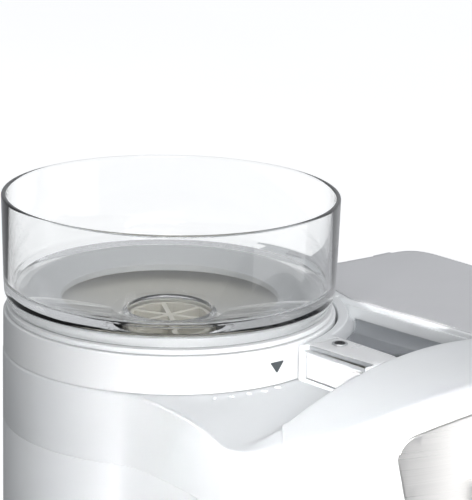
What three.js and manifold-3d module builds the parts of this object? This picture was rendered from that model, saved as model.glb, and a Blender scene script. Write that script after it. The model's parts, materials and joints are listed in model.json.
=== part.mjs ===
// Burr coffee grinder: clear bean hopper on a grind-setting ring, a cylindrical burr tower that
// flows into the body, an arched front head with a steel panel, and a ground-coffee container
// in a bay below it. Millimetres, +Z up, +X to the right, the front faces -Y.
// Everything is laid out about the hopper's vertical axis; the outer group then shifts it so that
// the origin is the middle of the overall footprint, on the surface that the grinder stands on.
import * as THREE from 'three';
import { mergeVertices } from 'three/addons/utils/BufferGeometryUtils.js';
import Module from 'manifold-3d';

const wasm = await Module();
wasm.setup();

// ---- driving dimensions -------------------------------------------------------------------
const HEIGHT = 300;            // table to hopper rim
const WALL = 2.5;              // moulded casing wall
const GAP = 0.3;               // air between pieces that touch
const ROUND = 48;              // facets on a large circle
const ROUND_INNER = 32;        // facets on a large circle inside the casing
const ROUND_SMALL = 24;        // facets on a small circle

const TOWER_R = 69.3;          // cylindrical tower under the hopper
const SHELF_Z = HEIGHT - 65;   // shelf that carries the grind-setting dots
const SEAM_Z = HEIGHT - 95;    // joint between upper and lower casing
const DECK_Z = HEIGHT - 50;    // raised deck beside the hopper
const REAR_DECK_Z = 220;       // low deck behind the storage lid
const BASE_Z = 10;             // underside of the lower casing

const MID_X = 45;              // middle of the body and of the head
const HALF_WIDTH = 106.5;      // middle to the side walls
const BACK_Y = TOWER_R;        // back wall, tangent to the tower
const BOW_R = 158;             // plan radius of the bowed front, about (MID_X, 0)
const CORNER_X = 95;           // middle to the ends of the bow
const SIDE_END_Y = -106;       // where the side walls turn into the front corners
const HEAD_BACK_Y = -108;      // back of the arched head
const HEAD_BASE_Z = 160;       // underside of the head cover
const ARCH_R = 190;            // radius of the head's arched top
const ARCH_TOP = HEIGHT - 47.5;

const BLOCK_X = 9.8;           // left face of the raised deck beside the ring
const LEDGE_X = 28.5;          // right edge of the chute cover
const LID_X = 75;              // left edge of the storage lid
const LID_BACK_Y = 12.5;       // back edge of the storage lid
const LID_TOP = HEIGHT - 49.5;
const LID_THICK = 2.5;
const WELL_R = 70.2;           // round well in the deck around the ring

const BAY = { x0: -20, x1: 110, y: -74, z0: 34, z1: 150 };
const GEAR_MODULE = 1.5;
const GEAR_TEETH = 48;
const PINION_TEETH = 12;
const MOTOR_X = GEAR_MODULE * (GEAR_TEETH + PINION_TEETH) / 2;
const SPOUT = { x: 21.25, y: -97 };
const KNOB = { z: 205, r: 17, out: 13 };

// ---- materials ------------------------------------------------------------------------------
function finish(color, roughness, metalness = 0, opacity = 1) {
  return new THREE.MeshStandardMaterial({
    color, roughness, metalness, opacity, transparent: opacity < 1,
  });
}
const WHITE = finish(0xeef0f2, 0.32);
const CLEAR = finish(0xe8eced, 0.05, 0, 0.3);
const FROSTED = finish(0xf0f2f4, 0.35, 0, 0.6);
const SMOKED = finish(0x868a92, 0.15, 0, 0.8);
const LID_GREY = finish(0xbcbcc2, 0.35);
const SLATE = finish(0x3c4144, 0.5);
const STEEL = finish(0xd8d6d2, 0.3, 1);
const BURR_STEEL = finish(0x8d9094, 0.35, 1);
const BRASS = finish(0xb8924a, 0.35, 1);
const BLACK = finish(0x232427, 0.5);
const RUBBER = finish(0x2b2b2b, 0.9);
const NYLON = finish(0xd9d5c8, 0.5);
const BOARD = finish(0x2f6b45, 0.6);
const ZINC = finish(0xa9adb0, 0.4, 1);

// ---- solids ---------------------------------------------------------------------------------
function solid(geometry) {
  geometry.deleteAttribute('normal');
  geometry.deleteAttribute('uv');
  const merged = mergeVertices(geometry, 1e-4);
  return new wasm.Manifold(new wasm.Mesh({
    numProp: 3,
    vertProperties: new Float32Array(merged.attributes.position.array),
    triVerts: new Uint32Array(merged.index.array),
  }));
}

function box(x0, x1, y0, y1, z0, z1) {
  const geometry = new THREE.BoxGeometry(x1 - x0, y1 - y0, z1 - z0);
  geometry.translate((x0 + x1) / 2, (y0 + y1) / 2, (z0 + z1) / 2);
  return solid(geometry);
}

function cylinder(radius, x, y, z0, z1, facets = ROUND_SMALL) {
  const geometry = new THREE.CylinderGeometry(radius, radius, z1 - z0, facets);
  geometry.rotateX(Math.PI / 2);
  geometry.translate(x, y, (z0 + z1) / 2);
  return solid(geometry);
}

// Round bar along X or Y, from one end to the other.
function bar(axis, radius, from, to, a, b, facets = ROUND_SMALL) {
  const geometry = new THREE.CylinderGeometry(radius, radius, to - from, facets);
  if (axis === 'x') {
    geometry.rotateZ(Math.PI / 2);
    geometry.translate((from + to) / 2, a, b);
  } else {
    geometry.translate(a, (from + to) / 2, b);
  }
  return solid(geometry);
}

// Upright extrusion of a plan shape.
function prism(shape, z0, z1, curveSegments = 12) {
  const geometry = new THREE.ExtrudeGeometry(shape, {
    depth: z1 - z0, bevelEnabled: false, curveSegments,
  });
  geometry.translate(0, 0, z0);
  return solid(geometry);
}

// Extrusion of a front-view shape (X, Z) towards the back, from y0 to y1.
function frontPrism(shape, y0, y1, curveSegments = 12) {
  const geometry = new THREE.ExtrudeGeometry(shape, {
    depth: y1 - y0, bevelEnabled: false, curveSegments,
  });
  geometry.rotateX(Math.PI / 2);
  geometry.translate(0, y1, 0);
  return solid(geometry);
}

// Turned solid about the hopper axis; the profile is a closed list of [radius, height].
function turned(profile, facets = ROUND) {
  const points = [...profile, profile[0]].map(([r, z]) => new THREE.Vector2(r, z));
  const geometry = new THREE.LatheGeometry(points, facets);
  geometry.rotateX(Math.PI / 2);
  const made = solid(geometry);
  return made.volume() > 0 ? made : solid(flipped(geometry));
}

function flipped(geometry) {
  const index = geometry.index.array;
  for (let i = 0; i < index.length; i += 3) {
    [index[i], index[i + 1]] = [index[i + 1], index[i]];
  }
  return geometry;
}

function union(solids) {
  return solids.reduce((joined, next) => joined.add(next));
}

function cut(body, ...tools) {
  return tools.reduce((left, tool) => left.subtract(tool), body);
}

const machine = new THREE.Group();
function place(name, body, material) {
  const made = body.getMesh();
  const geometry = new THREE.BufferGeometry();
  geometry.setAttribute('position', new THREE.BufferAttribute(made.vertProperties, 3));
  geometry.setIndex(new THREE.BufferAttribute(made.triVerts, 1));
  geometry.computeVertexNormals();
  const mesh = new THREE.Mesh(geometry, material);
  mesh.name = name;
  machine.add(mesh);
}

// ---- plan outlines --------------------------------------------------------------------------
// Body outline: the tower's arc on the left, a waisted left wall, the bowed front, a straight
// right wall and a flat back. inset moves it inwards all round.
function bodyOutline(inset = 0) {
  const side = HALF_WIDTH - inset;
  const bow = BOW_R - inset;
  const corner = CORNER_X - inset;
  const bowY = -Math.sqrt(bow * bow - corner * corner);
  const bowEnd = Math.asin(corner / bow);
  const back = BACK_Y - inset;
  const cornerR = 12;
  const leave = THREE.MathUtils.degToRad(214);
  const shape = new THREE.Shape();
  shape.absarc(0, 0, TOWER_R - inset, Math.PI / 2, leave, false);
  const left = MID_X - side;
  shape.bezierCurveTo(left + 8.5, -45.4, left + 7.5, -74, left, SIDE_END_Y);
  shape.quadraticCurveTo(left - 1, bowY + 7, MID_X - corner, bowY);
  shape.absarc(MID_X, 0, bow, -Math.PI / 2 - bowEnd, -Math.PI / 2 + bowEnd, false);
  shape.quadraticCurveTo(MID_X + side, bowY + 7, MID_X + side, SIDE_END_Y);
  shape.lineTo(MID_X + side, back - cornerR);
  shape.absarc(MID_X + side - cornerR, back - cornerR, cornerR, 0, Math.PI / 2, false);
  return shape;
}

// Plan of the arched head: a straight back, slanting ends and the bowed front.
function headOutline(inset = 0) {
  const bow = BOW_R - inset;
  const corner = CORNER_X - inset;
  const bowY = -Math.sqrt(bow * bow - corner * corner);
  const bowEnd = Math.asin(corner / bow);
  const backHalf = corner - 16;
  const shape = new THREE.Shape();
  shape.moveTo(MID_X + backHalf, HEAD_BACK_Y - inset);
  shape.lineTo(MID_X - backHalf, HEAD_BACK_Y - inset);
  shape.lineTo(MID_X - corner, bowY);
  shape.absarc(MID_X, 0, bow, -Math.PI / 2 - bowEnd, -Math.PI / 2 + bowEnd, false);
  return shape;
}

function rectangle(x0, x1, y0, y1, r) {
  const shape = new THREE.Shape();
  shape.absarc(x1 - r, y1 - r, r, 0, Math.PI / 2, false);
  shape.absarc(x0 + r, y1 - r, r, Math.PI / 2, Math.PI, false);
  shape.absarc(x0 + r, y0 + r, r, Math.PI, 1.5 * Math.PI, false);
  shape.absarc(x1 - r, y0 + r, r, 1.5 * Math.PI, 2 * Math.PI, false);
  return shape;
}

// Steel panel's outline seen from the front: arched top, sides that draw in downwards.
function panelOutline(grow = 0) {
  const topR = ARCH_R - 9.5 + grow;
  const centreZ = ARCH_TOP - ARCH_R;
  const halfTop = 55.5 + grow;
  const halfBottom = 46 + grow;
  const bottom = 172 - grow;
  const r = 8;
  const endAngle = Math.acos((halfTop - r) / topR);
  const shoulder = centreZ + topR * Math.sin(endAngle);
  const shape = new THREE.Shape();
  shape.absarc(MID_X, centreZ, topR, endAngle, Math.PI - endAngle, false);
  shape.quadraticCurveTo(MID_X - halfTop, shoulder - 1.5, MID_X - halfTop, shoulder - r - 2);
  shape.lineTo(MID_X - halfBottom, bottom + r);
  shape.quadraticCurveTo(MID_X - halfBottom + 1, bottom, MID_X - halfBottom + r, bottom);
  shape.lineTo(MID_X + halfBottom - r, bottom);
  shape.quadraticCurveTo(MID_X + halfBottom - 1, bottom, MID_X + halfBottom, bottom + r);
  shape.lineTo(MID_X + halfTop, shoulder - r - 2);
  shape.quadraticCurveTo(MID_X + halfTop, shoulder - 1.5, MID_X + halfTop - r, shoulder);
  return shape;
}

function archBar(radius, y0, y1) {
  return bar('y', radius, y0, y1, MID_X, ARCH_TOP - ARCH_R, 2 * ROUND);
}

// ---- hopper -----------------------------------------------------------------------------------
const FLOOR_EDGE = HEIGHT - 36;   // where the hopper's wall meets its floor
const THROAT_R = 17.6;
function hopperBowl() {
  return turned([
    [70, HEIGHT], [69, FLOOR_EDGE], [68.7, HEIGHT - 40.7], [66.6, HEIGHT - 46.4],
    [65, HEIGHT - 46.4], [66.2, HEIGHT - 41.6], [60, HEIGHT - 42], [24, HEIGHT - 51.6],
    [THROAT_R + 1.8, HEIGHT - 52], [THROAT_R + 1.8, HEIGHT - 61], [THROAT_R, HEIGHT - 61],
    [THROAT_R, HEIGHT - 49.8], [24.5, HEIGHT - 49], [66.3, FLOOR_EDGE - 0.4],
    [67.9, HEIGHT],
  ]);
}

function hopperBase() {
  const bottom = HEIGHT - 48.8;
  return turned([
    [46, bottom], [68, bottom], [68, bottom + 2], [64.5, bottom + 2], [64.5, bottom + 6.3],
    [60, bottom + 6.3], [46, bottom + 2.6],
  ]);
}

function fingerGuard() {
  const z = HEIGHT - 58;
  const arms = [0, 60, 120].map((turn) => {
    const arm = box(-THROAT_R + 1, THROAT_R - 1, -1, 1, z, z + 5);
    return arm.rotate([0, 0, turn]);
  });
  const rim = turned([
    [THROAT_R - 2, z], [THROAT_R - 0.4, z], [THROAT_R - 0.4, z + 5], [THROAT_R - 2, z + 5],
  ], ROUND_SMALL);
  return union([rim, ...arms]);
}

// ---- grind-setting ring -----------------------------------------------------------------------
const RING_R = 69.15;
const RING_INNER = 61.8;
const RING_BOTTOM = SHELF_Z + GAP;
const RING_TOP = HEIGHT - 49.2;
const MARKER_ANGLE = THREE.MathUtils.degToRad(-91.5);
function dialRing() {
  return turned([
    [RING_INNER, RING_BOTTOM], [RING_R - 0.7, RING_BOTTOM], [RING_R - 0.7, RING_TOP],
    [RING_INNER, RING_TOP],
  ]);
}

// Downward triangle on the ring's face, bent to its radius.
function dialMarker() {
  const half = 3;
  const top = HEIGHT - 54.6;
  const triangle = new THREE.Shape([
    new THREE.Vector2(-half, top), new THREE.Vector2(0, top - 5), new THREE.Vector2(half, top),
  ]);
  const plate = frontPrism(triangle, -RING_R, -RING_R + 0.5);
  return plate.rotate([0, 0, THREE.MathUtils.radToDeg(MARKER_ANGLE) + 90]);
}

const DOT_COUNT = 5;
const DOT_STEP = 5.4;           // degrees between settings
const DOT_PLAN_R = 72.2;
function grindDots() {
  const dots = [];
  for (let i = 0; i < DOT_COUNT; i += 1) {
    const angle = MARKER_ANGLE - THREE.MathUtils.degToRad(DOT_STEP * i);
    const r = 1.7 - 0.22 * i;
    dots.push(cylinder(r, DOT_PLAN_R * Math.cos(angle), DOT_PLAN_R * Math.sin(angle),
      SHELF_Z - 1, SHELF_Z + 0.7, 12));
  }
  return dots;
}

// ---- upper casing -----------------------------------------------------------------------------
const WINDOW_FLOOR = DECK_Z - 9.3;
const RIM_TOP_R = 75.8;         // outer edge of the band around the well, on the deck
const RIM_FOOT_R = 80;          // foot of the band's slope, on the window's level
function wellBand(clear) {
  return turned([
    [0, WINDOW_FLOOR], [RIM_FOOT_R + clear, WINDOW_FLOOR], [RIM_TOP_R + clear, DECK_Z],
    [RIM_TOP_R + clear, DECK_Z + 1], [0, DECK_Z + 1],
  ]);
}

function upperCover() {
  const outline = prism(bodyOutline(), SEAM_Z, SHELF_Z);
  const tower = cylinder(TOWER_R, 0, 0, SEAM_Z, SHELF_Z, ROUND);
  const rearCut = cut(box(-5, 160, LID_BACK_Y, 80, REAR_DECK_Z, SHELF_Z + 1), tower);
  const footprint = prism(bodyOutline(), SHELF_Z - 5, DECK_Z);
  const deck = box(BLOCK_X, LID_X + WALL, HEAD_BACK_Y, LID_BACK_Y, SHELF_Z - 5, DECK_Z);
  const block = box(LID_X, 160, HEAD_BACK_Y, LID_BACK_Y, SHELF_Z - 5, LID_TOP - LID_THICK - GAP)
    .intersect(footprint);
  const lowered = box(LID_X, 160, HEAD_BACK_Y, LID_BACK_Y + 1, LID_TOP - LID_THICK - GAP, DECK_Z + 1);
  const backStep = box(LID_X, 160, LID_BACK_Y - WALL, LID_BACK_Y + 1, 244, DECK_Z + 1);
  const well = cylinder(WELL_R, 0, 0, SHELF_Z, DECK_Z + 1, ROUND);
  const head = prism(headOutline(), SEAM_Z - 1, DECK_Z + 5);
  const shell = cut(union([cut(outline, rearCut), deck, block]), lowered, backStep, well, head);

  // hollow inside
  const towerInner = cylinder(TOWER_R - WALL, 0, 0, SEAM_Z - 1, SHELF_Z - WALL, ROUND);
  const lowRoom = cut(prism(bodyOutline(WALL), SEAM_Z - 1, SHELF_Z - WALL),
    box(-5, 160, LID_BACK_Y - WALL, 80, REAR_DECK_Z - WALL, SHELF_Z));
  const wellWall = cylinder(WELL_R + WALL, 0, 0, SHELF_Z - WALL - 1, DECK_Z, ROUND);
  const underWindow = cut(box(BLOCK_X + 2, LID_X, HEAD_BACK_Y + WALL, LID_BACK_Y - WALL,
    SHELF_Z - WALL - 1, WINDOW_FLOOR - 2), wellWall);
  const chuteRoom = box(BLOCK_X + 2, LEDGE_X - 0.3, HEAD_BACK_Y + WALL, -73.4,
    SHELF_Z - WALL - 1, DECK_Z + 1);
  const lidRoom = box(LID_X + WALL, MID_X + HALF_WIDTH - WALL, HEAD_BACK_Y + WALL,
    LID_BACK_Y - WALL, SHELF_Z - WALL - 1, DECK_Z + 1);
  const recess = cut(box(LEDGE_X + WALL, LID_X, HEAD_BACK_Y + WALL, LID_BACK_Y - WALL,
    WINDOW_FLOOR, DECK_Z + 1), wellBand(0),
  box(LEDGE_X, LID_X, -24, LID_BACK_Y, WINDOW_FLOOR, DECK_Z + 1));
  const plateSeat = box(BLOCK_X - 1, LEDGE_X, HEAD_BACK_Y + 0.6, -71.6, DECK_Z - 2.3, DECK_Z + 1);
  const doorway = box(BLOCK_X - 1, BLOCK_X + 3, -105.5, -73.4, SHELF_Z + 1.5, DECK_Z + 1);
  const throat = cylinder(58, 0, 0, SHELF_Z - WALL - 1, SHELF_Z + 1, ROUND);
  const hollow = cut(shell, lowRoom, towerInner, underWindow, chuteRoom, lidRoom, recess,
    plateSeat, doorway, throat);
  return union([hollow, ...grindDots()]);
}

const CHUTE_SCREW = { x: 22.5, y: -79.5 };
function chuteCover() {
  const plate = box(BLOCK_X, LEDGE_X - GAP, HEAD_BACK_Y + 0.9, -71.9, DECK_Z - 2, DECK_Z);
  const round = cylinder(WELL_R + 1.2, 0, 0, DECK_Z - 3, DECK_Z + 1, ROUND);
  return cut(plate, round, cylinder(1.9, CHUTE_SCREW.x, CHUTE_SCREW.y, DECK_Z - 3, DECK_Z + 1));
}

function chuteScrew() {
  const { x, y } = CHUTE_SCREW;
  return union([
    cylinder(1.5, x, y, DECK_Z - 4, DECK_Z + 1.2, 16),
    cylinder(2.2, x, y, DECK_Z + 0.9, DECK_Z + 2, 16),
  ]);
}

function chuteWasher() {
  const { x, y } = CHUTE_SCREW;
  return cut(cylinder(3, x, y, DECK_Z + 0.15, DECK_Z + 0.7, 16),
    cylinder(1.8, x, y, DECK_Z, DECK_Z + 1, 16));
}

function chuteDoor() {
  return union([
    box(BLOCK_X + 0.2, BLOCK_X + 1.6, -105, -73.8, SHELF_Z + 2, DECK_Z - 4),
    bar('y', 1, -105, -73.8, BLOCK_X + 1, DECK_Z - 3.6, 12),
  ]);
}

function smokedWindow() {
  const pane = box(LEDGE_X + WALL + GAP, LID_X - GAP, HEAD_BACK_Y + WALL + GAP, -24.4,
    WINDOW_FLOOR + GAP, WINDOW_FLOOR + 1.5);
  return cut(pane, wellBand(0.4));
}

// ---- storage lid ------------------------------------------------------------------------------
const HINGE = { y: LID_BACK_Y - 1.3, z: 246.2 };
function storageLid() {
  const plate = prism(bodyOutline(), LID_TOP - LID_THICK, LID_TOP)
    .intersect(prism(rectangle(LID_X + 0.2, MID_X + HALF_WIDTH + 5, HEAD_BACK_Y + 0.2,
      LID_BACK_Y, 1), LID_TOP - LID_THICK, LID_TOP));
  const rounding = cut(box(140, 151, LID_BACK_Y - 10, LID_BACK_Y + 1, 240, 260),
    cylinder(10, 140, LID_BACK_Y - 10, 239, 261, 32));
  const knuckles = [[85, 95], [130, 140]].map(([x0, x1]) => union([
    bar('x', 1.8, x0, x1, HINGE.y, HINGE.z, 16),
    box(x0, x1, HINGE.y - 1.2, HINGE.y + 1.2, HINGE.z + 1, LID_TOP - LID_THICK + 0.5),
  ]));
  const bore = bar('x', 0.9, 80, 145, HINGE.y, HINGE.z, 16);
  return cut(union([cut(plate, rounding), ...knuckles]), bore);
}

function lidHingePin() {
  return bar('x', 0.8, 83, 142, HINGE.y, HINGE.z, 12);
}

function storageTray() {
  const x0 = LID_X + WALL + 0.5;
  const x1 = MID_X + HALF_WIDTH - WALL - 0.5;
  const y0 = HEAD_BACK_Y + WALL + 0.5;
  const y1 = LID_BACK_Y - WALL - 8;
  return cut(prism(rectangle(x0, x1, y0, y1, 4), 222, 247, 4),
    prism(rectangle(x0 + 1.6, x1 - 1.6, y0 + 1.6, y1 - 1.6, 3), 223.6, 248, 4));
}

// ---- front head -------------------------------------------------------------------------------
const BUTTON = { x: 78, z: 205, r: 7 };
function frontHead() {
  const outer = prism(headOutline(GAP), HEAD_BASE_Z, HEIGHT).intersect(archBar(ARCH_R, -200, -100));
  const inner = prism(headOutline(WALL + GAP), HEAD_BASE_Z - 1, HEIGHT)
    .intersect(archBar(ARCH_R - WALL, -200, -100));
  const backDoor = box(MID_X - 74, MID_X + 74, HEAD_BACK_Y - 4, HEAD_BACK_Y + 1, HEAD_BASE_Z - 1, 228);
  const seat = cut(frontPrism(panelOutline(0.4), -170, -130),
    cylinder(BOW_R - 1.9, MID_X, 0, 100, HEIGHT, 2 * ROUND));
  return cut(outer, inner, backDoor, seat,
    bar('y', 4.5, -170, -140, MID_X, KNOB.z), bar('y', BUTTON.r + 0.6, -170, -130, BUTTON.x, BUTTON.z));
}

function steelPanel() {
  const skin = cut(cylinder(BOW_R - 0.3, MID_X, 0, 150, HEIGHT, 2 * ROUND),
    cylinder(BOW_R - 1.5, MID_X, 0, 149, HEIGHT + 1, 2 * ROUND));
  return cut(skin.intersect(frontPrism(panelOutline(), -170, -130)),
    bar('y', 4.5, -170, -140, MID_X, KNOB.z), bar('y', BUTTON.r + 0.6, -170, -130, BUTTON.x, BUTTON.z));
}

function doseKnob() {
  const front = -BOW_R - KNOB.out;
  const cap = bar('y', KNOB.r, front, -BOW_R - 0.6, MID_X, KNOB.z, 36);
  const stem = bar('y', 3.4, -BOW_R - 1, -146, MID_X, KNOB.z, 16);
  const pointer = box(MID_X - 0.8, MID_X + 0.8, front - 1, front + 0.8, KNOB.z + 6, KNOB.z + 15.5);
  return cut(union([cap, stem]), pointer);
}

function doseSelector() {
  return cut(box(MID_X - 7, MID_X + 7, -145.6, -139.4, KNOB.z - 7, KNOB.z + 7),
    bar('y', 1.5, -147, -143, MID_X, KNOB.z, 12));
}

function startButton() {
  const front = -BOW_R - 0.5;
  return union([
    bar('y', BUTTON.r, front, -149, BUTTON.x, BUTTON.z, 24),
    bar('y', 1.6, -150, -145.5, BUTTON.x, BUTTON.z, 12),
  ]);
}

function buttonSwitch() {
  return box(BUTTON.x - 4, BUTTON.x + 4, -141.6, -139.4, BUTTON.z - 4, BUTTON.z + 4);
}

function buttonSpring() {
  const tube = cut(bar('y', 3.4, -148.7, -142, BUTTON.x, BUTTON.z, 16),
    bar('y', 2.2, -149, -141, BUTTON.x, BUTTON.z, 16));
  return tube;
}

function controlBoard() {
  return box(MID_X - 45, MID_X + 45, -139.1, -137.5, 178, 232);
}

// ---- lower casing -----------------------------------------------------------------------------
const VENT_COUNT = 7;
const INLET = { x: 112, z: 42 };
const SWITCH = { x: 75, z: 42 };
function lowerHousing() {
  const outer = prism(bodyOutline(), BASE_Z, SEAM_Z - GAP);
  const bayRoom = box(BAY.x0, BAY.x1, -170, BAY.y, BAY.z0, BAY.z1);
  const bayLiner = box(BAY.x0 - WALL, BAY.x1 + WALL, -170, BAY.y + WALL, BAY.z0 - WALL, BAY.z1 + WALL);
  const room = cut(prism(bodyOutline(WALL), BASE_Z - 1, SEAM_Z + 1), bayLiner);
  const headRoom = prism(headOutline(-0.01), HEAD_BASE_Z - GAP, SEAM_Z + 1);
  const spoutHole = box(SPOUT.x - 6.7, SPOUT.x + 6.7, SPOUT.y - 8.7, SPOUT.y + 8.7, BAY.z1 - 1, BAY.z1 + 4);
  const tools = [bayRoom, room, headRoom, spoutHole,
    box(INLET.x - 13.4, INLET.x + 13.4, 60, 72, INLET.z - 9.4, INLET.z + 9.4),
    box(SWITCH.x - 8.4, SWITCH.x + 8.4, 60, 72, SWITCH.z - 11.4, SWITCH.z + 11.4)];
  for (let i = 0; i < VENT_COUNT; i += 1) {
    tools.push(box(20, 110, 60, 72, 96 + 9 * i, 99.5 + 9 * i));
  }
  return cut(outer, ...tools);
}

function basePlate() {
  const posts = [[99, -46], [134, -46], [99, 16], [134, 16]]
    .map(([x, y]) => cylinder(2.5, x, y, BASE_Z - 2, 15.7, 12));
  return union([prism(bodyOutline(0.4), 6, BASE_Z - GAP, 8), ...posts]);
}

const FEET = { foot_front_left: [-40, -98], foot_front_right: [130, -98],
  foot_rear_right: [130, 48], foot_rear_left: [-28, 36] };

const BASE_SCREWS = [[-48, -60], [138, -40], [60, 58], [45, -145]];
const GEARBOX_POSTS = [[-27, 37], [-27, -37], [MOTOR_X + 20, 36], [MOTOR_X + 20, -36]];
function screwHead(x, y, z0, z1) {
  return cut(cylinder(3.2, x, y, z0, z1, 12), box(x - 2.2, x + 2.2, y - 0.4, y + 0.4, z0 - 1, z0 + 0.8));
}

// ---- ground-coffee container ------------------------------------------------------------------
const BOX_TOP = 138;
function bayShape(clear, bow) {
  const shape = new THREE.Shape();
  const x0 = BAY.x0 + clear;
  const x1 = BAY.x1 - clear;
  const half = (x1 - x0) / 2;
  const end = Math.asin(half / bow);
  shape.moveTo(x1, BAY.y - clear);
  shape.lineTo(x0, BAY.y - clear);
  shape.lineTo(x0, -bow * Math.cos(end));
  shape.absarc(MID_X, 0, bow, -Math.PI / 2 - end, -Math.PI / 2 + end, false);
  return shape;
}

function groundsContainer() {
  const bin = cut(prism(bayShape(1, 151), BAY.z0 + 0.5, BOX_TOP),
    prism(bayShape(3, 149), BAY.z0 + 2.5, BOX_TOP + 1));
  const grip = cut(prism(rectangle(MID_X - 27, MID_X + 27, -156.5, -149.6, 3), 104, 116, 4),
    cylinder(149.5, MID_X, 0, 90, 130, 2 * ROUND));
  return bin.add(grip);
}

function containerLid() {
  const plate = prism(bayShape(1, 151), BOX_TOP + GAP, BOX_TOP + 2.3);
  return cut(plate, box(SPOUT.x - 10, SPOUT.x + 10, SPOUT.y - 12, SPOUT.y + 12, BOX_TOP, BOX_TOP + 4));
}

// ---- grinding unit ----------------------------------------------------------------------------
const CHAMBER_FLOOR = 199;
function burrChamber() {
  const cup = turned([
    [9.5, CHAMBER_FLOOR - 3], [51, CHAMBER_FLOOR - 3], [51, 229.2], [66, 229.2], [66, 232.2],
    [48.5, 232.2], [48.5, CHAMBER_FLOOR], [9.5, CHAMBER_FLOOR],
  ], ROUND_INNER);
  const port = box(SPOUT.x - 4.9, SPOUT.x + 4.9, -60, -35, CHAMBER_FLOOR, CHAMBER_FLOOR + 10);
  const posts = [45, 135, 225, 315].map((turn) => cylinder(3.5, 42, 0, 182.3, CHAMBER_FLOOR - 2, 12)
    .rotate([0, 0, turn]));
  return cut(union([cup, ...posts]), port);
}

function chamberGasket() {
  return turned([[52, 232.5], [57.4, 232.5], [57.4, 234], [52, 234]], ROUND_INNER);
}

function chuteDuct() {
  const { x, y } = SPOUT;
  const tall = box(x - 6.8, x + 6.8, HEAD_BACK_Y + 3, -76, 186, DECK_Z - 5);
  const low = box(x - 6.8, x + 6.8, -77, -51.5, CHAMBER_FLOOR - 2, CHAMBER_FLOOR + 12);
  const chamber = cylinder(51.6, 0, 0, 180, 240, ROUND);
  const channel = box(x - 4.9, x + 4.9, -78.1, -40, CHAMBER_FLOOR, CHAMBER_FLOOR + 10);
  const drop = box(x - 4.9, x + 4.9, HEAD_BACK_Y + 5, -78, 185, DECK_Z);
  const side = box(x - 8, x - 4, -103, -79, SHELF_Z + 3, DECK_Z);
  return cut(union([tall, low]), chamber, channel, drop, side);
}

function outletSpout() {
  const { x, y } = SPOUT;
  return cut(union([
    box(x - 6.2, x + 6.2, y - 8.2, y + 8.2, BOX_TOP + 6, 183),
    box(x - 8.5, x + 8.5, HEAD_BACK_Y + 1, -77, 183, 185.6),
  ]), box(x - 4.4, x + 4.4, y - 6.4, y + 6.4, BOX_TOP, 190));
}

// Carrier that holds the ring burr; its flange sits inside the grind-setting ring, and clears
// the shelf at the finest setting, where the carrier is 0.8 mm lower.
const CARRIER_FLANGE_Z = SHELF_Z + 1.8;
function burrCarrier() {
  return turned([
    [30.5, 209.6], [47.4, 209.6], [47.4, CARRIER_FLANGE_Z], [RING_INNER - 0.5, CARRIER_FLANGE_Z],
    [RING_INNER - 0.5, 247], [20.4, 247], [20.4, 236], [30.5, 236],
  ], ROUND_INNER);
}

// Cone or ring face with sawtooth cutting edges that spiral round it.
function toothed(profile, facets, teeth, depth, twist) {
  const points = [...profile, profile[0]].map(([r, z]) => new THREE.Vector2(r, z));
  const geometry = new THREE.LatheGeometry(points, facets);
  geometry.rotateX(Math.PI / 2);
  const key = (r, z) => `${r.toFixed(3)},${z.toFixed(3)}`;
  const marks = new Set(profile.filter(([, , mark]) => mark).map(([r, z]) => key(r, z)));
  const position = geometry.attributes.position;
  for (let i = 0; i < position.count; i += 1) {
    const [x, y, z] = [position.getX(i), position.getY(i), position.getZ(i)];
    const r = Math.hypot(x, y);
    if (!marks.has(key(r, z))) continue;
    const step = Math.round(Math.atan2(y, x) / (2 * Math.PI) * facets + z * twist) * teeth / facets;
    const scale = (r - depth * (step - Math.floor(step))) / r;
    position.setXYZ(i, x * scale, y * scale, z);
  }
  const made = solid(geometry);
  return made.volume() > 0 ? made : solid(flipped(geometry));
}

const CONE = { z0: 208, z1: 232, r0: 23, r1: 13 };
function coneBurr() {
  const rows = [0, 1, 2, 3, 4].map((row) => [CONE.r0 + (CONE.r1 - CONE.r0) * row / 4,
    CONE.z0 + (CONE.z1 - CONE.z0) * row / 4, true]);
  return toothed([[5.4, CONE.z0], ...rows, [5.4, CONE.z1]], 36, 12, 1.6, 0.25);
}

function ringBurr() {
  const inner = [[20.2, 235.6, true], [20.9, 228, true], [22.2, 219, true], [24.4, 210, true]];
  return toothed([[30, 210], [30, 235.6], ...inner], 36, 12, 1.1, 0.2);
}

function sweeper() {
  const disc = turned([
    [5.4, 199.6], [46, 199.6], [46, 201], [9, 201], [9, 207.6], [5.4, 207.6],
  ], ROUND_INNER);
  const vanes = [0, 90, 180, 270].map((turn) => box(8.5, 45.5, -1, 1, 200.8, 206.5).rotate([0, 0, turn]));
  return union([disc, ...vanes]);
}

function burrShaft() {
  return turned([[0, 154.6], [5.1, 154.6], [5.1, 236], [0, 236]], ROUND_SMALL);
}

function burrNut() {
  const hexagon = new THREE.CylinderGeometry(8.5, 8.5, 5, 6);
  hexagon.rotateX(Math.PI / 2);
  hexagon.translate(0, 0, CONE.z1 + GAP + 2.5);
  return cut(solid(hexagon), cylinder(5.4, 0, 0, 230, 240));
}

function bearing(z0) {
  return turned([[5.4, z0], [10.6, z0], [10.6, z0 + 6.5], [5.4, z0 + 6.5]], ROUND_SMALL);
}

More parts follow.
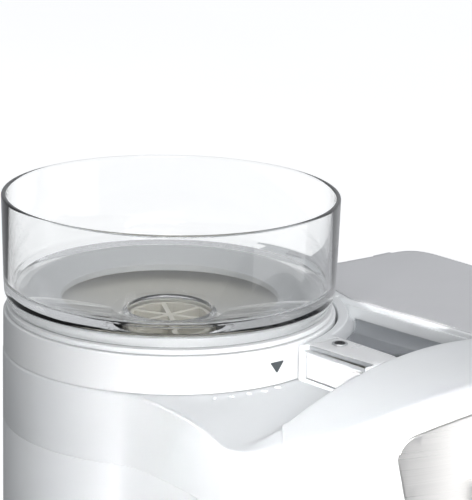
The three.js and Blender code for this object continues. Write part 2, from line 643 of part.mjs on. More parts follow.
// ---- drive ------------------------------------------------------------------------------------
// Spur gear with trapezoid teeth; phase turns it by a fraction of one tooth.
function gear(teeth, z0, z1, bore, phase) {
  const pitch = teeth * GEAR_MODULE / 2;
  const root = pitch - 1.2 * GEAR_MODULE;
  const tip = pitch + 0.85 * GEAR_MODULE;
  const step = 2 * Math.PI / teeth;
  const corners = [[-0.32, root], [-0.12, tip], [0.12, tip], [0.32, root]];
  const points = [];
  for (let tooth = 0; tooth < teeth; tooth += 1) {
    for (const [turn, r] of corners) {
      const angle = (tooth + phase + turn) * step;
      points.push(new THREE.Vector2(r * Math.cos(angle), r * Math.sin(angle)));
    }
  }
  return cut(prism(new THREE.Shape(points), z0, z1), cylinder(bore, 0, 0, z0 - 1, z1 + 1));
}

function driveGear() {
  const wheel = gear(GEAR_TEETH, 163, 171, 5.4, 0.5);
  const holes = [0, 90, 180, 270].map((turn) => cylinder(7, 21, 0, 160, 175, 12).rotate([0, 0, turn]));
  return cut(wheel, ...holes);
}

function motorPinion() {
  return gear(PINION_TEETH, 161.5, 173, 2.6, 0).translate([MOTOR_X, 0, 0]);
}

function motorShaft() {
  return cylinder(2.3, MOTOR_X, 0, 76, 176, 16);
}

function motorCan() {
  return cut(union([
    cylinder(25, MOTOR_X, 0, 74, 145, 36),
    cylinder(9, MOTOR_X, 0, 145, 149.7),
    cylinder(8, MOTOR_X, 0, 70, 74),
  ]), cylinder(2.6, MOTOR_X, 0, 72, 150, 16));
}

function gearPlate() {
  const outline = new THREE.Shape();
  outline.absarc(0, 0, 50, Math.PI / 2, 1.5 * Math.PI, false);
  outline.absarc(MOTOR_X, 0, 44, -Math.PI / 2, Math.PI / 2, false);
  const posts = GEARBOX_POSTS.map(([x, y]) => cylinder(3.5, x, y, 153, 177.7, 12));
  const seat = turned([[11, 153], [13.5, 153], [13.5, 160], [11, 160]], ROUND_SMALL);
  return cut(union([prism(outline, 150, 154), seat, ...posts]), cylinder(3, MOTOR_X, 0, 149, 155, 16));
}

function gearboxCover() {
  const outline = new THREE.Shape();
  outline.absarc(0, 0, 50, Math.PI / 2, 1.5 * Math.PI, false);
  outline.absarc(MOTOR_X, 0, 44, -Math.PI / 2, Math.PI / 2, false);
  const seat = turned([[11, 181], [13.5, 181], [13.5, 189], [11, 189]], ROUND_SMALL);
  return cut(union([prism(outline, 178, 182), seat]), cylinder(6, 0, 0, 177, 183));
}

function shaftSeal() {
  return turned([[5.6, 195], [9, 195], [9, 199], [5.6, 199]], ROUND_SMALL);
}

// ---- electrics --------------------------------------------------------------------------------
function powerBoard() {
  return union([
    box(95, 138, -50, 20, 16, 17.6),
    box(100, 116, -40, -20, 17.5, 36),
    cylinder(6, 126, -8, 17.5, 38, 16),
    box(100, 118, -8, 12, 17.5, 30),
  ]);
}

function powerInlet() {
  return cut(box(INLET.x - 13, INLET.x + 13, 52, BACK_Y - 0.2, INLET.z - 9, INLET.z + 9),
    box(INLET.x - 9, INLET.x + 9, 56, 72, INLET.z - 5, INLET.z + 5),
    ...[-4, 4].map((dx) => bar('y', 1.4, 53, 57, INLET.x + dx, INLET.z, 12)));
}

function inletPin(side) {
  return bar('y', 1.1, 53.4, 66, INLET.x + 4 * side, INLET.z, 12);
}

function switchFrame() {
  return cut(box(SWITCH.x - 8, SWITCH.x + 8, 54, BACK_Y - 0.2, SWITCH.z - 11, SWITCH.z + 11),
    box(SWITCH.x - 6.2, SWITCH.x + 6.2, 57, 72, SWITCH.z - 9.2, SWITCH.z + 9.2));
}

function powerRocker() {
  const side = new THREE.Shape([[62.5, -7.8], [67.2, -7.8], [65.9, 0], [68.9, 7.8], [64, 7.8],
    [61.5, 0]].map(([y, z]) => new THREE.Vector2(y, SWITCH.z + z)));
  const geometry = new THREE.ExtrudeGeometry(side, { depth: 11.6, bevelEnabled: false });
  geometry.rotateX(Math.PI / 2);
  geometry.rotateZ(Math.PI / 2);
  geometry.translate(SWITCH.x - 5.8, 0, 0);
  return solid(geometry);
}

// ---- assembly ---------------------------------------------------------------------------------
place('hopper_bowl', hopperBowl(), CLEAR);
place('hopper_base', hopperBase(), WHITE);
place('finger_guard', fingerGuard(), NYLON);
place('dial_ring', dialRing(), WHITE);
place('dial_marker', dialMarker(), SLATE);
place('upper_cover', upperCover(), WHITE);
place('chute_cover', chuteCover(), FROSTED);
place('chute_screw', chuteScrew(), BLACK);
place('chute_washer', chuteWasher(), ZINC);
place('chute_door', chuteDoor(), FROSTED);
place('smoked_window', smokedWindow(), SMOKED);
place('storage_lid', storageLid(), LID_GREY);
place('lid_hinge_pin', lidHingePin(), ZINC);
place('storage_tray', storageTray(), WHITE);
place('front_head', frontHead(), WHITE);
place('steel_panel', steelPanel(), STEEL);
place('dose_knob', doseKnob(), STEEL);
place('dose_selector', doseSelector(), BLACK);
place('start_button', startButton(), WHITE);
place('button_spring', buttonSpring(), ZINC);
place('button_switch', buttonSwitch(), BLACK);
place('control_board', controlBoard(), BOARD);
place('lower_housing', lowerHousing(), WHITE);
place('base_plate', basePlate(), WHITE);
for (const [name, [x, y]] of Object.entries(FEET)) {
  place(name, cylinder(9, x, y, 0, 5.7), RUBBER);
}
BASE_SCREWS.forEach(([x, y], i) => {
  place(`base_screw_${i + 1}`, screwHead(x, y, 3.6, 5.7), ZINC);
});
place('grounds_container', groundsContainer(), SMOKED);
place('container_lid', containerLid(), SLATE);
place('burr_chamber', burrChamber(), NYLON);
place('chamber_gasket', chamberGasket(), RUBBER);
place('chute_duct', chuteDuct(), NYLON);
place('outlet_spout', outletSpout(), SLATE);
place('burr_carrier', burrCarrier(), NYLON);
place('ring_burr', ringBurr(), BURR_STEEL);
place('cone_burr', coneBurr(), BURR_STEEL);
place('sweeper', sweeper(), SLATE);
place('burr_shaft', burrShaft(), ZINC);
place('burr_nut', burrNut(), ZINC);
place('shaft_seal', shaftSeal(), RUBBER);
place('upper_bearing', bearing(182.3), ZINC);
place('lower_bearing', bearing(154.4), ZINC);
place('drive_gear', driveGear(), NYLON);
place('motor_pinion', motorPinion(), BRASS);
place('motor_shaft', motorShaft(), ZINC);
place('motor_can', motorCan(), ZINC);
place('gear_plate', gearPlate(), ZINC);
place('gearbox_cover', gearboxCover(), ZINC);
place('power_board', powerBoard(), BOARD);
place('power_inlet', powerInlet(), BLACK);
place('inlet_pin_left', inletPin(1), ZINC);
place('inlet_pin_right', inletPin(-1), ZINC);
place('switch_frame', switchFrame(), BLACK);
place('power_rocker', powerRocker(), BLACK);

// The origin is the middle of the whole grinder's footprint.
const footprint = new THREE.Box3().setFromObject(machine, true);
const middle = footprint.getCenter(new THREE.Vector3());
machine.position.set(-middle.x, -middle.y, 0);

const grinder = new THREE.Group();
grinder.add(machine);
export default grinder;
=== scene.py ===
import json
import math

import bmesh
import bpy
import numpy as np
from mathutils import Matrix, Vector
from mathutils.geometry import delaunay_2d_cdt


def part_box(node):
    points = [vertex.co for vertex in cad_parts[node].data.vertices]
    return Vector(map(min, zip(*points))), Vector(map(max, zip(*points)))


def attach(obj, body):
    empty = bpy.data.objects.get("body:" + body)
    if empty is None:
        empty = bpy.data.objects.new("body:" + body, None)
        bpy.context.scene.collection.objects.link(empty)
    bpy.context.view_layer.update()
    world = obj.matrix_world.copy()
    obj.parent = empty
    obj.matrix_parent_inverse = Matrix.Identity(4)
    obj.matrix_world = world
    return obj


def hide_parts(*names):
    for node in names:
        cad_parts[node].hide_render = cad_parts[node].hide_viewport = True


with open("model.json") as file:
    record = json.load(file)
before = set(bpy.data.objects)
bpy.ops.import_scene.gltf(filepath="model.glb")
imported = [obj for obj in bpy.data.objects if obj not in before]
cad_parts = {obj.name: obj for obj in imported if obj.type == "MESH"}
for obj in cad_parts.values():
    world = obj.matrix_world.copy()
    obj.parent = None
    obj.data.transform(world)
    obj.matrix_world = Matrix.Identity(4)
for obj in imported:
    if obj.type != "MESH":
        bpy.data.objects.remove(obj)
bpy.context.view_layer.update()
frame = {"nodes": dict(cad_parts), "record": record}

# ---- driving dimensions, in millimetres about the hopper's axis, heights above the table ---------
ring_low, ring_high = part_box("dial_ring")
AXIS = (ring_low + ring_high) / 2 * 1000
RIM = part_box("hopper_bowl")[1].z * 1000
SHELF = RIM - 65
SEAM = RIM - 95
DECK = RIM - 50
BASE = 10.0
TOWER_R = 69.3
MID = 45.0
HALF_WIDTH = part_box("upper_cover")[1].x * 1000 - AXIS.x - MID
BACK = TOWER_R
BOW_R = 158.0
CORNER = 95.0
SIDE_END = -106.0
HEAD_BACK = -108.0
HEAD_BASE = 160.0
ARCH_R = 190.0
ARCH_TOP = RIM - 47.5
ARCH_CENTRE = ARCH_TOP - ARCH_R
WALL = 2.5
GAP = 0.3            # air between the casing and what sits in it
SEAM_GAP = 0.12      # air in the seams between the casing's own pieces
BLOCK_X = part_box("chute_cover")[0].x * 1000 - AXIS.x
LEDGE_X = 28.5
DECK_FRONT = HEAD_BACK + 0.2
DECK_LOW = SHELF - 6          # how far the deck's solids reach down into the shelf
ROOM_LOW = SHELF - 3.5        # floor of the rooms under the deck
WINDOW_FLOOR = DECK - 8.5
LID_X = 75.0
LID_BACK = 12.5
LID_TOP = RIM - 49.5
LID_SEAT = LID_TOP - 2.8
WELL_R = 70.2
REAR_DECK = 220.0
INNER_FRONT = -105.5          # front end of the window's recess and of the chute's doorway
DOOR_BACK = -73.4
BEYOND = 200.0                # past the machine's outside, for cutting shapes
BACK_ROUND = 12.0             # plan radius of the rear right corner


# ---- camera ------------------------------------------------------------------------------------
def make_camera():
    distance, rise = 1.05, 0.259
    azimuth, pitch, roll, pan = (math.radians(a) for a in (40.0, 15.08, 1.25, 1.48))
    focal_px, long_side = 2624.0, 500.0
    forward = Vector((math.sin(pan) * math.cos(pitch), math.cos(pan) * math.cos(pitch),
                      -math.sin(pitch)))
    right = Vector((math.cos(pan), -math.sin(pan), 0))
    up = right.cross(forward)
    right_rolled = right * math.cos(roll) + up * math.sin(roll)
    up_rolled = up * math.cos(roll) - right * math.sin(roll)
    turn = Matrix.Rotation(-azimuth, 3, "Z")
    columns = [turn @ v for v in (right_rolled, up_rolled, -forward)]
    rotation = Matrix(columns).transposed().to_4x4()
    place = turn @ Vector((0, -distance, rise)) + Vector((AXIS.x, AXIS.y, RIM)) / 1000
    data = bpy.data.cameras.new("camera")
    data.sensor_width = 36.0
    data.lens = focal_px / long_side * data.sensor_width
    data.clip_end = 50
    camera = bpy.data.objects.new("camera", data)
    bpy.context.scene.collection.objects.link(camera)
    camera.matrix_world = Matrix.Translation(place) @ rotation
    bpy.context.scene.camera = camera


# ---- materials -----------------------------------------------------------------------------------
class Nodes:
    """Short way to write a node material."""

    def __init__(self, name):
        self.material = bpy.data.materials.new(name)
        self.material.use_nodes = True
        self.tree = self.material.node_tree
        self.shader = self.tree.nodes["Principled BSDF"]
        self.place = self.add("ShaderNodeTexCoord").outputs["Object"]

    def add(self, kind, **inputs):
        node = self.tree.nodes.new(kind)
        for key, value in inputs.items():
            node.inputs[key.replace("_", " ")].default_value = value
        return node

    def link(self, output, target):
        self.tree.links.new(output, target)

    def stretched(self, scale):
        node = self.add("ShaderNodeMapping", Scale=scale)
        self.link(self.place, node.inputs["Vector"])
        return node.outputs["Vector"]

    def noise(self, scale, detail=3.0, stretch=None):
        node = self.add("ShaderNodeTexNoise", Scale=scale, Detail=detail)
        source = self.place if stretch is None else self.stretched(stretch)
        self.link(source, node.inputs["Vector"])
        return node.outputs["Fac"]

    def ramp(self, factor, stops):
        node = self.add("ShaderNodeValToRGB")
        for i, (place, colour) in enumerate(stops):
            element = node.color_ramp.elements[i] if i < 2 else node.color_ramp.elements.new(place)
            element.position = place
            element.color = (*colour, 1)
        self.link(factor, node.inputs["Fac"])
        return node.outputs["Color"]

    def spread(self, factor, low, high):
        node = self.add("ShaderNodeMapRange", To_Min=low, To_Max=high)
        self.link(factor, node.inputs["Value"])
        return node.outputs["Result"]

    def bump(self, height, distance, strength=1.0):
        node = self.add("ShaderNodeBump", Distance=distance, Strength=strength)
        self.link(height, node.inputs["Height"])
        self.link(node.outputs["Normal"], self.shader.inputs["Normal"])

    def set(self, **inputs):
        for key, value in inputs.items():
            self.shader.inputs[key.replace("_", " ")].default_value = value
        return self


def shade(colour, factor):
    return tuple(min(1.0, c * factor) for c in colour)


def moulded(name, colour, rough, grain=0.00002, coat=0.0, grain_scale=900.0):
    """Injection-moulded plastic: cloudy tint, uneven polish and a fine moulded grain."""
    n = Nodes(name)
    cloud = n.noise(28.0, 4.0)
    n.link(n.ramp(cloud, [(0.3, shade(colour, 0.985)), (0.7, shade(colour, 1.01))]),
           n.shader.inputs["Base Color"])
    n.link(n.spread(n.noise(60.0), rough * 0.88, rough * 1.14), n.shader.inputs["Roughness"])
    n.bump(n.noise(grain_scale, 2.0), grain, 0.5)
    return n.set(Coat_Weight=coat, Coat_Roughness=0.12, IOR=1.5).material


def clear(name, colour, rough=0.02, ior=1.5, coat=0.0):
    n = Nodes(name)
    n.link(n.ramp(n.noise(18.0), [(0.3, shade(colour, 0.992)), (0.7, colour)]),
           n.shader.inputs["Base Color"])
    n.link(n.spread(n.noise(35.0), rough * 0.7, rough * 1.5), n.shader.inputs["Roughness"])
    return n.set(Transmission_Weight=1.0, IOR=ior, Coat_Weight=coat, Coat_Roughness=0.02).material


def frosted(name, colour):
    """Milky plastic that only lets a little light through."""
    n = Nodes(name)
    n.link(n.ramp(n.noise(24.0), [(0.3, shade(colour, 0.985)), (0.7, colour)]),
           n.shader.inputs["Base Color"])
    n.link(n.spread(n.noise(50.0), 0.24, 0.36), n.shader.inputs["Roughness"])
    return n.set(Transmission_Weight=0.12, IOR=1.5).material


def brushed(name, colour, rough, stretch):
    """Sheet steel with fine brush lines along the stretched direction."""
    n = Nodes(name)
    lines = n.noise(1.0, 4.0, stretch)
    n.link(n.ramp(lines, [(0.25, shade(colour, 0.93)), (0.75, shade(colour, 1.03))]),
           n.shader.inputs["Base Color"])
    n.link(n.spread(lines, rough * 0.75, rough * 1.25), n.shader.inputs["Roughness"])
    n.bump(lines, 0.00003, 0.35)
    return n.set(Metallic=1.0, Anisotropic=0.5).material


def metal(name, colour, rough, scale=220.0):
    n = Nodes(name)
    n.link(n.ramp(n.noise(scale, 5.0), [(0.3, shade(colour, 0.86)), (0.75, shade(colour, 1.06))]),
           n.shader.inputs["Base Color"])
    n.link(n.spread(n.noise(scale * 0.4), rough * 0.75, rough * 1.3), n.shader.inputs["Roughness"])
    n.bump(n.noise(scale * 4, 2.0), 0.00003, 0.3)
    return n.set(Metallic=1.0).material


def circuit_board():
    """Green solder mask with copper tracks showing through."""
    n = Nodes("circuit_board")
    tracks = n.add("ShaderNodeTexVoronoi", Scale=170.0)
    tracks.distance = "MANHATTAN"
    n.link(n.place, tracks.inputs["Vector"])
    n.link(n.ramp(tracks.outputs["Distance"], [(0.30, (0.03, 0.17, 0.08)), (0.36, (0.05, 0.26, 0.13))]),
           n.shader.inputs["Base Color"])
    n.bump(tracks.outputs["Distance"], 0.0001, 0.3)
    return n.set(Roughness=0.35).material


MATERIALS = {
    "white_shell": moulded("white_shell", (0.84, 0.855, 0.865), 0.33),
    "white_ring": moulded("white_ring", (0.86, 0.87, 0.875), 0.3),
    "clear_hopper": clear("clear_hopper", (0.985, 0.99, 0.99), ior=1.18, coat=1.0),
    "frosted_clear": frosted("frosted_clear", (0.95, 0.955, 0.96)),
    "smoked_clear": clear("smoked_clear", (0.60, 0.62, 0.65), 0.06),
    "lid_grey": moulded("lid_grey", (0.66, 0.66, 0.675), 0.36),
    "brushed_steel": brushed("brushed_steel", (0.80, 0.785, 0.765), 0.3, (18.0, 18.0, 2600.0)),
    "burr_steel": metal("burr_steel", (0.42, 0.43, 0.44), 0.32),
    "zinc_steel": metal("zinc_steel", (0.62, 0.63, 0.64), 0.34),
    "brass": metal("brass", (0.72, 0.55, 0.26), 0.3),
    "slate_plastic": moulded("slate_plastic", (0.045, 0.055, 0.06), 0.45),
    "black_plastic": moulded("black_plastic", (0.012, 0.012, 0.014), 0.4, 0.00004),
    "nylon": moulded("nylon", (0.72, 0.69, 0.60), 0.5, 0.00003),
    "rubber": moulded("rubber", (0.02, 0.02, 0.021), 0.85, 0.00008, grain_scale=500.0),
    "circuit_board": circuit_board(),
}


# ---- mesh helpers --------------------------------------------------------------------------------
def to_frame(points):
    out = np.array(points, float)
    out[:, 0] += AXIS.x
    out[:, 1] += AXIS.y
    return out / 1000


def closed_mesh(name, verts, faces, weld=1e-4):
    mesh = bpy.data.meshes.new(name)
    mesh.from_pydata([tuple(map(float, v)) for v in verts], [], [tuple(map(int, f)) for f in faces])
    work = bmesh.new()
    work.from_mesh(mesh)
    bmesh.ops.remove_doubles(work, verts=work.verts, dist=weld)
    bmesh.ops.recalc_face_normals(work, faces=work.faces)
    work.to_mesh(mesh)
    work.free()
    return mesh


def combine(base, joins=(), cuts=(), keeps=()):
    """Boolean of closed shapes: base plus joins, minus cuts, only inside every one of keeps."""
    target = bpy.data.objects.new("target", closed_mesh("target", *base))
    bpy.context.scene.collection.objects.link(target)
    steps = [("UNION", t) for t in joins] + [("DIFFERENCE", t) for t in cuts]
    steps += [("INTERSECT", t) for t in keeps]
    for operation, shape in steps:
        tool = bpy.data.objects.new("tool", closed_mesh("tool", *shape))
        bpy.context.scene.collection.objects.link(tool)
        modifier = target.modifiers.new("boolean", "BOOLEAN")
        modifier.operation = operation
        modifier.solver = "MANIFOLD"
        modifier.object = tool
        solved = target.evaluated_get(bpy.context.evaluated_depsgraph_get())
        mesh = bpy.data.meshes.new_from_object(solved)
        target.modifiers.clear()
        target.data = mesh
        bpy.data.objects.remove(tool)
    verts = [tuple(v.co) for v in target.data.vertices]
    faces = [tuple(p.vertices) for p in target.data.polygons]
    bpy.data.objects.remove(target)
    return verts, faces


def add_piece(name, shape, body, slot, nodes=(), sharp=38.0):
    """Makes the piece from a shape in millimetres about the hopper axis, and hangs it on its body."""
    verts, faces = shape
    mesh = closed_mesh(name, to_frame(verts), faces, 1e-7)
    mesh.shade_smooth()
    mesh.set_sharp_from_angle(angle=math.radians(sharp))
    mesh.materials.append(MATERIALS[slot])
    piece = bpy.data.objects.new(name, mesh)
    bpy.context.scene.collection.objects.link(piece)
    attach(piece, body)
    if nodes:
        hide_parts(*nodes)
    return piece


def box(x0, x1, y0, y1, z0, z1):
    verts = [(x, y, z) for x in (x0, x1) for y in (y0, y1) for z in (z0, z1)]
    return verts, [(0, 1, 3, 2), (4, 6, 7, 5), (0, 4, 5, 1), (2, 3, 7, 6), (0, 2, 6, 4), (1, 5, 7, 3)]


def filleted(corners, steps=5):
    """A closed outline from (x, y, radius) corners, each rounded off."""
    out = []
    count = len(corners)
    for i, (x, y, radius) in enumerate(corners):
        here = np.array((x, y), float)
        before = np.array(corners[i - 1][:2], float) - here
        after = np.array(corners[(i + 1) % count][:2], float) - here
        reach_before, reach_after = np.linalg.norm(before), np.linalg.norm(after)
        before, after = before / reach_before, after / reach_after
        bend = math.acos(float(np.clip(before @ after, -1, 1)))
        if radius <= 0 or bend > math.pi - 0.02:
            out.append(tuple(here))
            continue
        reach = min(radius / math.tan(bend / 2), 0.49 * reach_before, 0.49 * reach_after)
        start, end = here + before * reach, here + after * reach
        for k in range(steps + 1):
            t = k / steps
            out.append(tuple((1 - t) ** 2 * start + 2 * t * (1 - t) * here + t * t * end))
    return np.array(out)


def turned(profile, segments=192, centre=(0, 0), axis="z"):
    """Turned solid from a closed (radius, height) outline; axis is the direction it turns about."""
    profile = [(max(r, 0.0), h) for r, h in profile]
    count = len(profile)
    verts, faces = [], []
    for s in range(segments):
        a = 2 * math.pi * s / segments
        for r, h in profile:
            u, v = centre[0] + r * math.cos(a), centre[1] + r * math.sin(a)
            verts.append({"z": (u, v, h), "y": (u, h, v), "x": (h, u, v)}[axis])
        for k in range(count):
            nxt = (k + 1) % count
            if profile[k][0] == 0 and profile[nxt][0] == 0:
                continue
            a0, a1 = s * count, (s + 1) % segments * count
            corners = [a0 + k, a1 + k, a1 + nxt, a0 + nxt]
            if profile[k][0] == 0:
                corners = [a0 + k, a1 + nxt, a0 + nxt]
            if profile[nxt][0] == 0:
                corners = [a0 + k, a1 + k, a0 + nxt]
            faces.append(tuple(corners))
    return verts, faces


def rounded_profile(corners, steps=5):
    return [tuple(p) for p in filleted(corners, steps)]


def rod(radius, z0, z1, x=0.0, y=0.0, segments=96):
    return turned([(0, z0), (radius, z0), (radius, z1), (0, z1)], segments, (x, y))


def prism(outline, z0, z1):
    outline = [tuple(p) for p in outline]
    count = len(outline)
    verts = [(x, y, z0) for x, y in outline] + [(x, y, z1) for x, y in outline]
    faces = [(i, (i + 1) % count, count + (i + 1) % count, count + i) for i in range(count)]
    return verts, faces + [tuple(range(count))[::-1], tuple(range(count, 2 * count))]


def circle(x, y, radius, count=192):
    turns = [2 * math.pi * k / count for k in range(count)]
    return [(x + radius * math.cos(a), y + radius * math.sin(a)) for a in turns]


def loft(low, z0, high, z1):
    """Solid between two outlines with the same number of points."""
    verts, faces = prism(low, z0, z1)
    return verts[:len(low)] + [(x, y, z1) for x, y in high], faces


def turned_forward(shape):
    """Stands a plan shape up: its plan becomes the front view, its height runs to the front."""
    verts, faces = shape
    return [(x, -z, y) for x, y, z in verts], faces


def rim_distance(points, rim, radii):
    """Distance of each point to a closed rim, and the edge radius at the nearest place."""
    a, b = rim, np.roll(rim, -1, axis=0)
    ra, rb = radii, np.roll(radii, -1)
    along = b - a
    length = (along ** 2).sum(1) + 1e-12
    best = np.full(len(points), 1e9)
    radius = np.zeros(len(points))
    for start in range(0, len(points), 2000):
        p = points[start:start + 2000]
        t = np.clip(((p[:, None] - a[None]) * along[None]).sum(2) / length[None], 0, 1)
        d = np.linalg.norm(p[:, None] - a[None] - t[..., None] * along[None], axis=2)
        k = d.argmin(1)
        rows = np.arange(len(p))
        best[start:start + 2000] = d[rows, k]
        radius[start:start + 2000] = ra[k] + (rb[k] - ra[k]) * t[rows, k]
    return best, radius


def inside(points, loop):
    x, y = points[:, 0], points[:, 1]
    hit = np.zeros(len(points), bool)
    for (x0, y0), (x1, y1) in zip(loop, np.roll(loop, -1, axis=0)):
        if y1 != y0:
            hit ^= ((y0 > y) != (y1 > y)) & (x < (x1 - x0) * (y - y0) / (y1 - y0) + x0)
    return hit


def ccw(loop):
    """The loop anticlockwise, without doubled points."""
    loop = np.array(loop, float)
    loop = loop[np.linalg.norm(loop - np.roll(loop, 1, axis=0), axis=1) > 0.02]
    x, y = loop[:, 0], loop[:, 1]
    area = (x * np.roll(y, -1) - np.roll(x, -1) * y).sum()
    return loop if area > 0 else loop[::-1]


def inward(loop):
    """Unit normals to the left of the direction of travel."""
    ahead = np.roll(loop, -1, axis=0) - loop
    ahead /= np.linalg.norm(ahead, axis=1)[:, None] + 1e-12
    normal = np.stack([-ahead[:, 1], ahead[:, 0]], 1)
    normal = normal + np.roll(normal, 1, axis=0)
    return normal / (np.linalg.norm(normal, axis=1)[:, None] + 1e-12)


def inset(loop, distance):
    loop = ccw(loop)
    return loop + inward(loop) * distance


SLIVER = 2e-3        # doubled area below which a triangle along a loop is dropped


def triangulated(loops, extra):
    """Constrained triangles between the loops, and the index that each input point became."""
    points = np.concatenate([*loops, extra]) if len(extra) else np.concatenate(loops)
    edges, start = [], 0
    for loop in loops:
        edges += [(start + i, start + (i + 1) % len(loop)) for i in range(len(loop))]
        start += len(loop)
    out = delaunay_2d_cdt([Vector(p) for p in points], edges, [], 0, 1e-5)
    coords = np.array([tuple(v) for v in out[0]])
    tris = np.array([tuple(f) for f in out[2]])
    centre = coords[tris].mean(1)
    keep = inside(centre, loops[0])
    for hole in loops[1:]:
        keep &= ~inside(centre, hole)
    became = {source: i for i, sources in enumerate(out[3]) for source in sources}
    on_loop = np.isin(tris, [became[i] for i in range(start)]).all(1)
    ax, ay = (coords[tris[:, 1]] - coords[tris[:, 0]]).T
    bx, by = (coords[tris[:, 2]] - coords[tris[:, 0]]).T
    keep &= ~(on_loop & (np.abs(ax * by - ay * bx) < SLIVER))
    return coords, tris[keep], became


def slab(outline, low, top, radius=1.0, holes=(), grid=3.0, rims=None, foot=0.4, fine=()):
    """Closed moulding: an upright wall round outline, a top given by the function top with edges
    that round off towards each rim, and holes with rounded edges of their own.
    rims are (loop, radii); by default the outline. fine are (low corner, high corner, step)."""
    outline = ccw(outline)
    holes = [(ccw(h)[::-1], r) for h, r in holes]
    if rims is None:
        rims = [(outline, radius)]
    rims = [(np.array(loop, float), np.zeros(len(loop)) + r) for loop, r in rims]
    rims += [(h, np.zeros(len(h)) + r) for h, r in holes]
    loops = [outline] + [h for h, _ in holes]

    extra = []
    for (x0, y0), (x1, y1), step in [(outline.min(0), outline.max(0), grid), *fine]:
        xs, ys = np.meshgrid(np.arange(x0, x1, step), np.arange(y0, y1, step))
        extra.append(np.stack([xs.ravel() + 0.13, ys.ravel() + 0.07], 1))
    for rim, radii in rims:
        steps = 2 if radii.max() < 0.7 else 5 if radii.max() < 5 else 9
        for k in range(1, steps + 1):
            offset = radii * (1 - math.cos(math.pi / 2 * k / steps))
            extra.append(rim + inward(rim) * offset[:, None])
    extra = np.concatenate(extra)
    for number, loop in enumerate(loops):
        extra = extra[inside(extra, loop) == (number == 0)]
        extra = extra[rim_distance(extra, loop, np.zeros(len(loop)))[0] > 0.03]
    coords, tris, became = triangulated(loops, extra)
    drop = np.zeros(len(coords))
    for rim, radii in rims:
        distance, r = rim_distance(coords, rim, radii)
        r = np.maximum(r, 1e-6)
        short = np.clip(r - distance, 0, None)
        drop = np.maximum(drop, r - np.sqrt(np.clip(r * r - short * short, 0, None)))
    z = top(coords[:, 0], coords[:, 1]) - drop
    verts = [(x, y, h) for (x, y), h in zip(coords, z)]
    faces = [tuple(t) for t in tris]

    levels = [(0.0, low)] if foot <= 0 else [
        (foot * (1 - math.cos(a)), low + foot * (1 - math.sin(a)))
        for a in (0, math.pi / 6, math.pi / 3, math.pi / 2)]
    bottoms, start = [], 0
    for loop in loops:
        rows = [[became[start + i] for i in range(len(loop))]]
        start += len(loop)
        normal = inward(loop)
        for offset, level in levels:
            first = len(verts)
            verts += [(x, y, level) for x, y in loop + normal * offset]
            rows.append(list(range(first, len(verts))))
        for upper, lower in zip(rows, rows[1:]):
            faces += [(upper[i], lower[i], lower[i + 1 - len(loop)], upper[i + 1 - len(loop)])
                      for i in range(len(loop))]
        bottoms.append((loop + normal * levels[-1][0], rows[-1]))
    _, flat_tris, became = triangulated([b for b, _ in bottoms], np.zeros((0, 2)))
    rows = [i for _, row in bottoms for i in row]
    index = {became[i]: row for i, row in enumerate(rows)}
    faces += [tuple(index[i] for i in tri)[::-1] for tri in flat_tris]
    return verts, faces


def flat(level):
    return lambda x, y: np.full(np.shape(x), float(level))


def arc(cx, cy, r, start, end, step=1.5):
    """Points along an arc, angles in radians, without the last one."""
    count = max(2, int(abs(end - start) * r / step))
    return [(cx + r * math.cos(start + (end - start) * k / count),
             cy + r * math.sin(start + (end - start) * k / count)) for k in range(count)]


def line(p, q, step=2.0):
    count = max(1, int(math.dist(p, q) / step))
    return [(p[0] + (q[0] - p[0]) * t / count, p[1] + (q[1] - p[1]) * t / count) for t in range(count)]


def polyline(corners, step=2.0):
    return [p for a, b in zip(corners, corners[1:] + corners[:1]) for p in line(a, b, step)]


def bezier(points, count=30):
    out = []
    for k in range(count):
        work = [np.array(p, float) for p in points]
        while len(work) > 1:
            work = [a + (b - a) * k / count for a, b in zip(work, work[1:])]
        out.append(tuple(work[0]))
    return out


# ---- plan outlines and heights -------------------------------------------------------------------
LEAVE = math.radians(214)
BOW_END = math.asin(CORNER / BOW_R)
BOW_Y = -math.sqrt(BOW_R ** 2 - CORNER ** 2)
LEFT = MID - HALF_WIDTH
RIGHT = MID + HALF_WIDTH
LEFT_TIP = (MID - CORNER, BOW_Y)
RIGHT_TIP = (MID + CORNER, BOW_Y)
HEAD_HALF = CORNER - 16


def left_side():
    start = (TOWER_R * math.cos(LEAVE), TOWER_R * math.sin(LEAVE))
    wall = bezier([start, (LEFT + 8.5, -45.4), (LEFT + 7.5, -74), (LEFT, SIDE_END)], 44)
    return wall + bezier([(LEFT, SIDE_END), (LEFT - 1, BOW_Y + 7), LEFT_TIP], 16)


def right_side():
    return bezier([RIGHT_TIP, (RIGHT, BOW_Y + 7), (RIGHT, SIDE_END)], 16)


def bow(radius=BOW_R):
    return arc(MID, 0, radius, -math.pi / 2 - BOW_END, -math.pi / 2 + BOW_END)


def back_corner():
    return arc(RIGHT - BACK_ROUND, BACK - BACK_ROUND, BACK_ROUND, 0, math.pi / 2)


def body_outline():
    return ccw(arc(0, 0, TOWER_R, math.pi / 2, LEAVE) + left_side() + bow() + right_side()
               + line((RIGHT, SIDE_END), (RIGHT, BACK - BACK_ROUND)) + back_corner()
               + line((RIGHT - BACK_ROUND, BACK), (0, BACK)))


def head_outline(clear=0.0):
    """Plan of the head: a straight back, slanting ends and the bowed front, all drawn in by clear."""
    radius, corner = BOW_R - clear, CORNER - clear
    end, half, back = math.asin(corner / radius), corner - 16, HEAD_BACK - clear
    tip_y = -radius * math.cos(end)
    return ccw(arc(MID, 0, radius, -math.pi / 2 - end, -math.pi / 2 + end)
               + line((MID + corner, tip_y), (MID + half, back), 1.0)
               + line((MID + half, back), (MID - half, back), 1.5)
               + line((MID - half, back), (MID - corner, tip_y), 1.0))


def smoothstep(t):
    t = np.clip(t, 0, 1)
    return t * t * (3 - 2 * t)


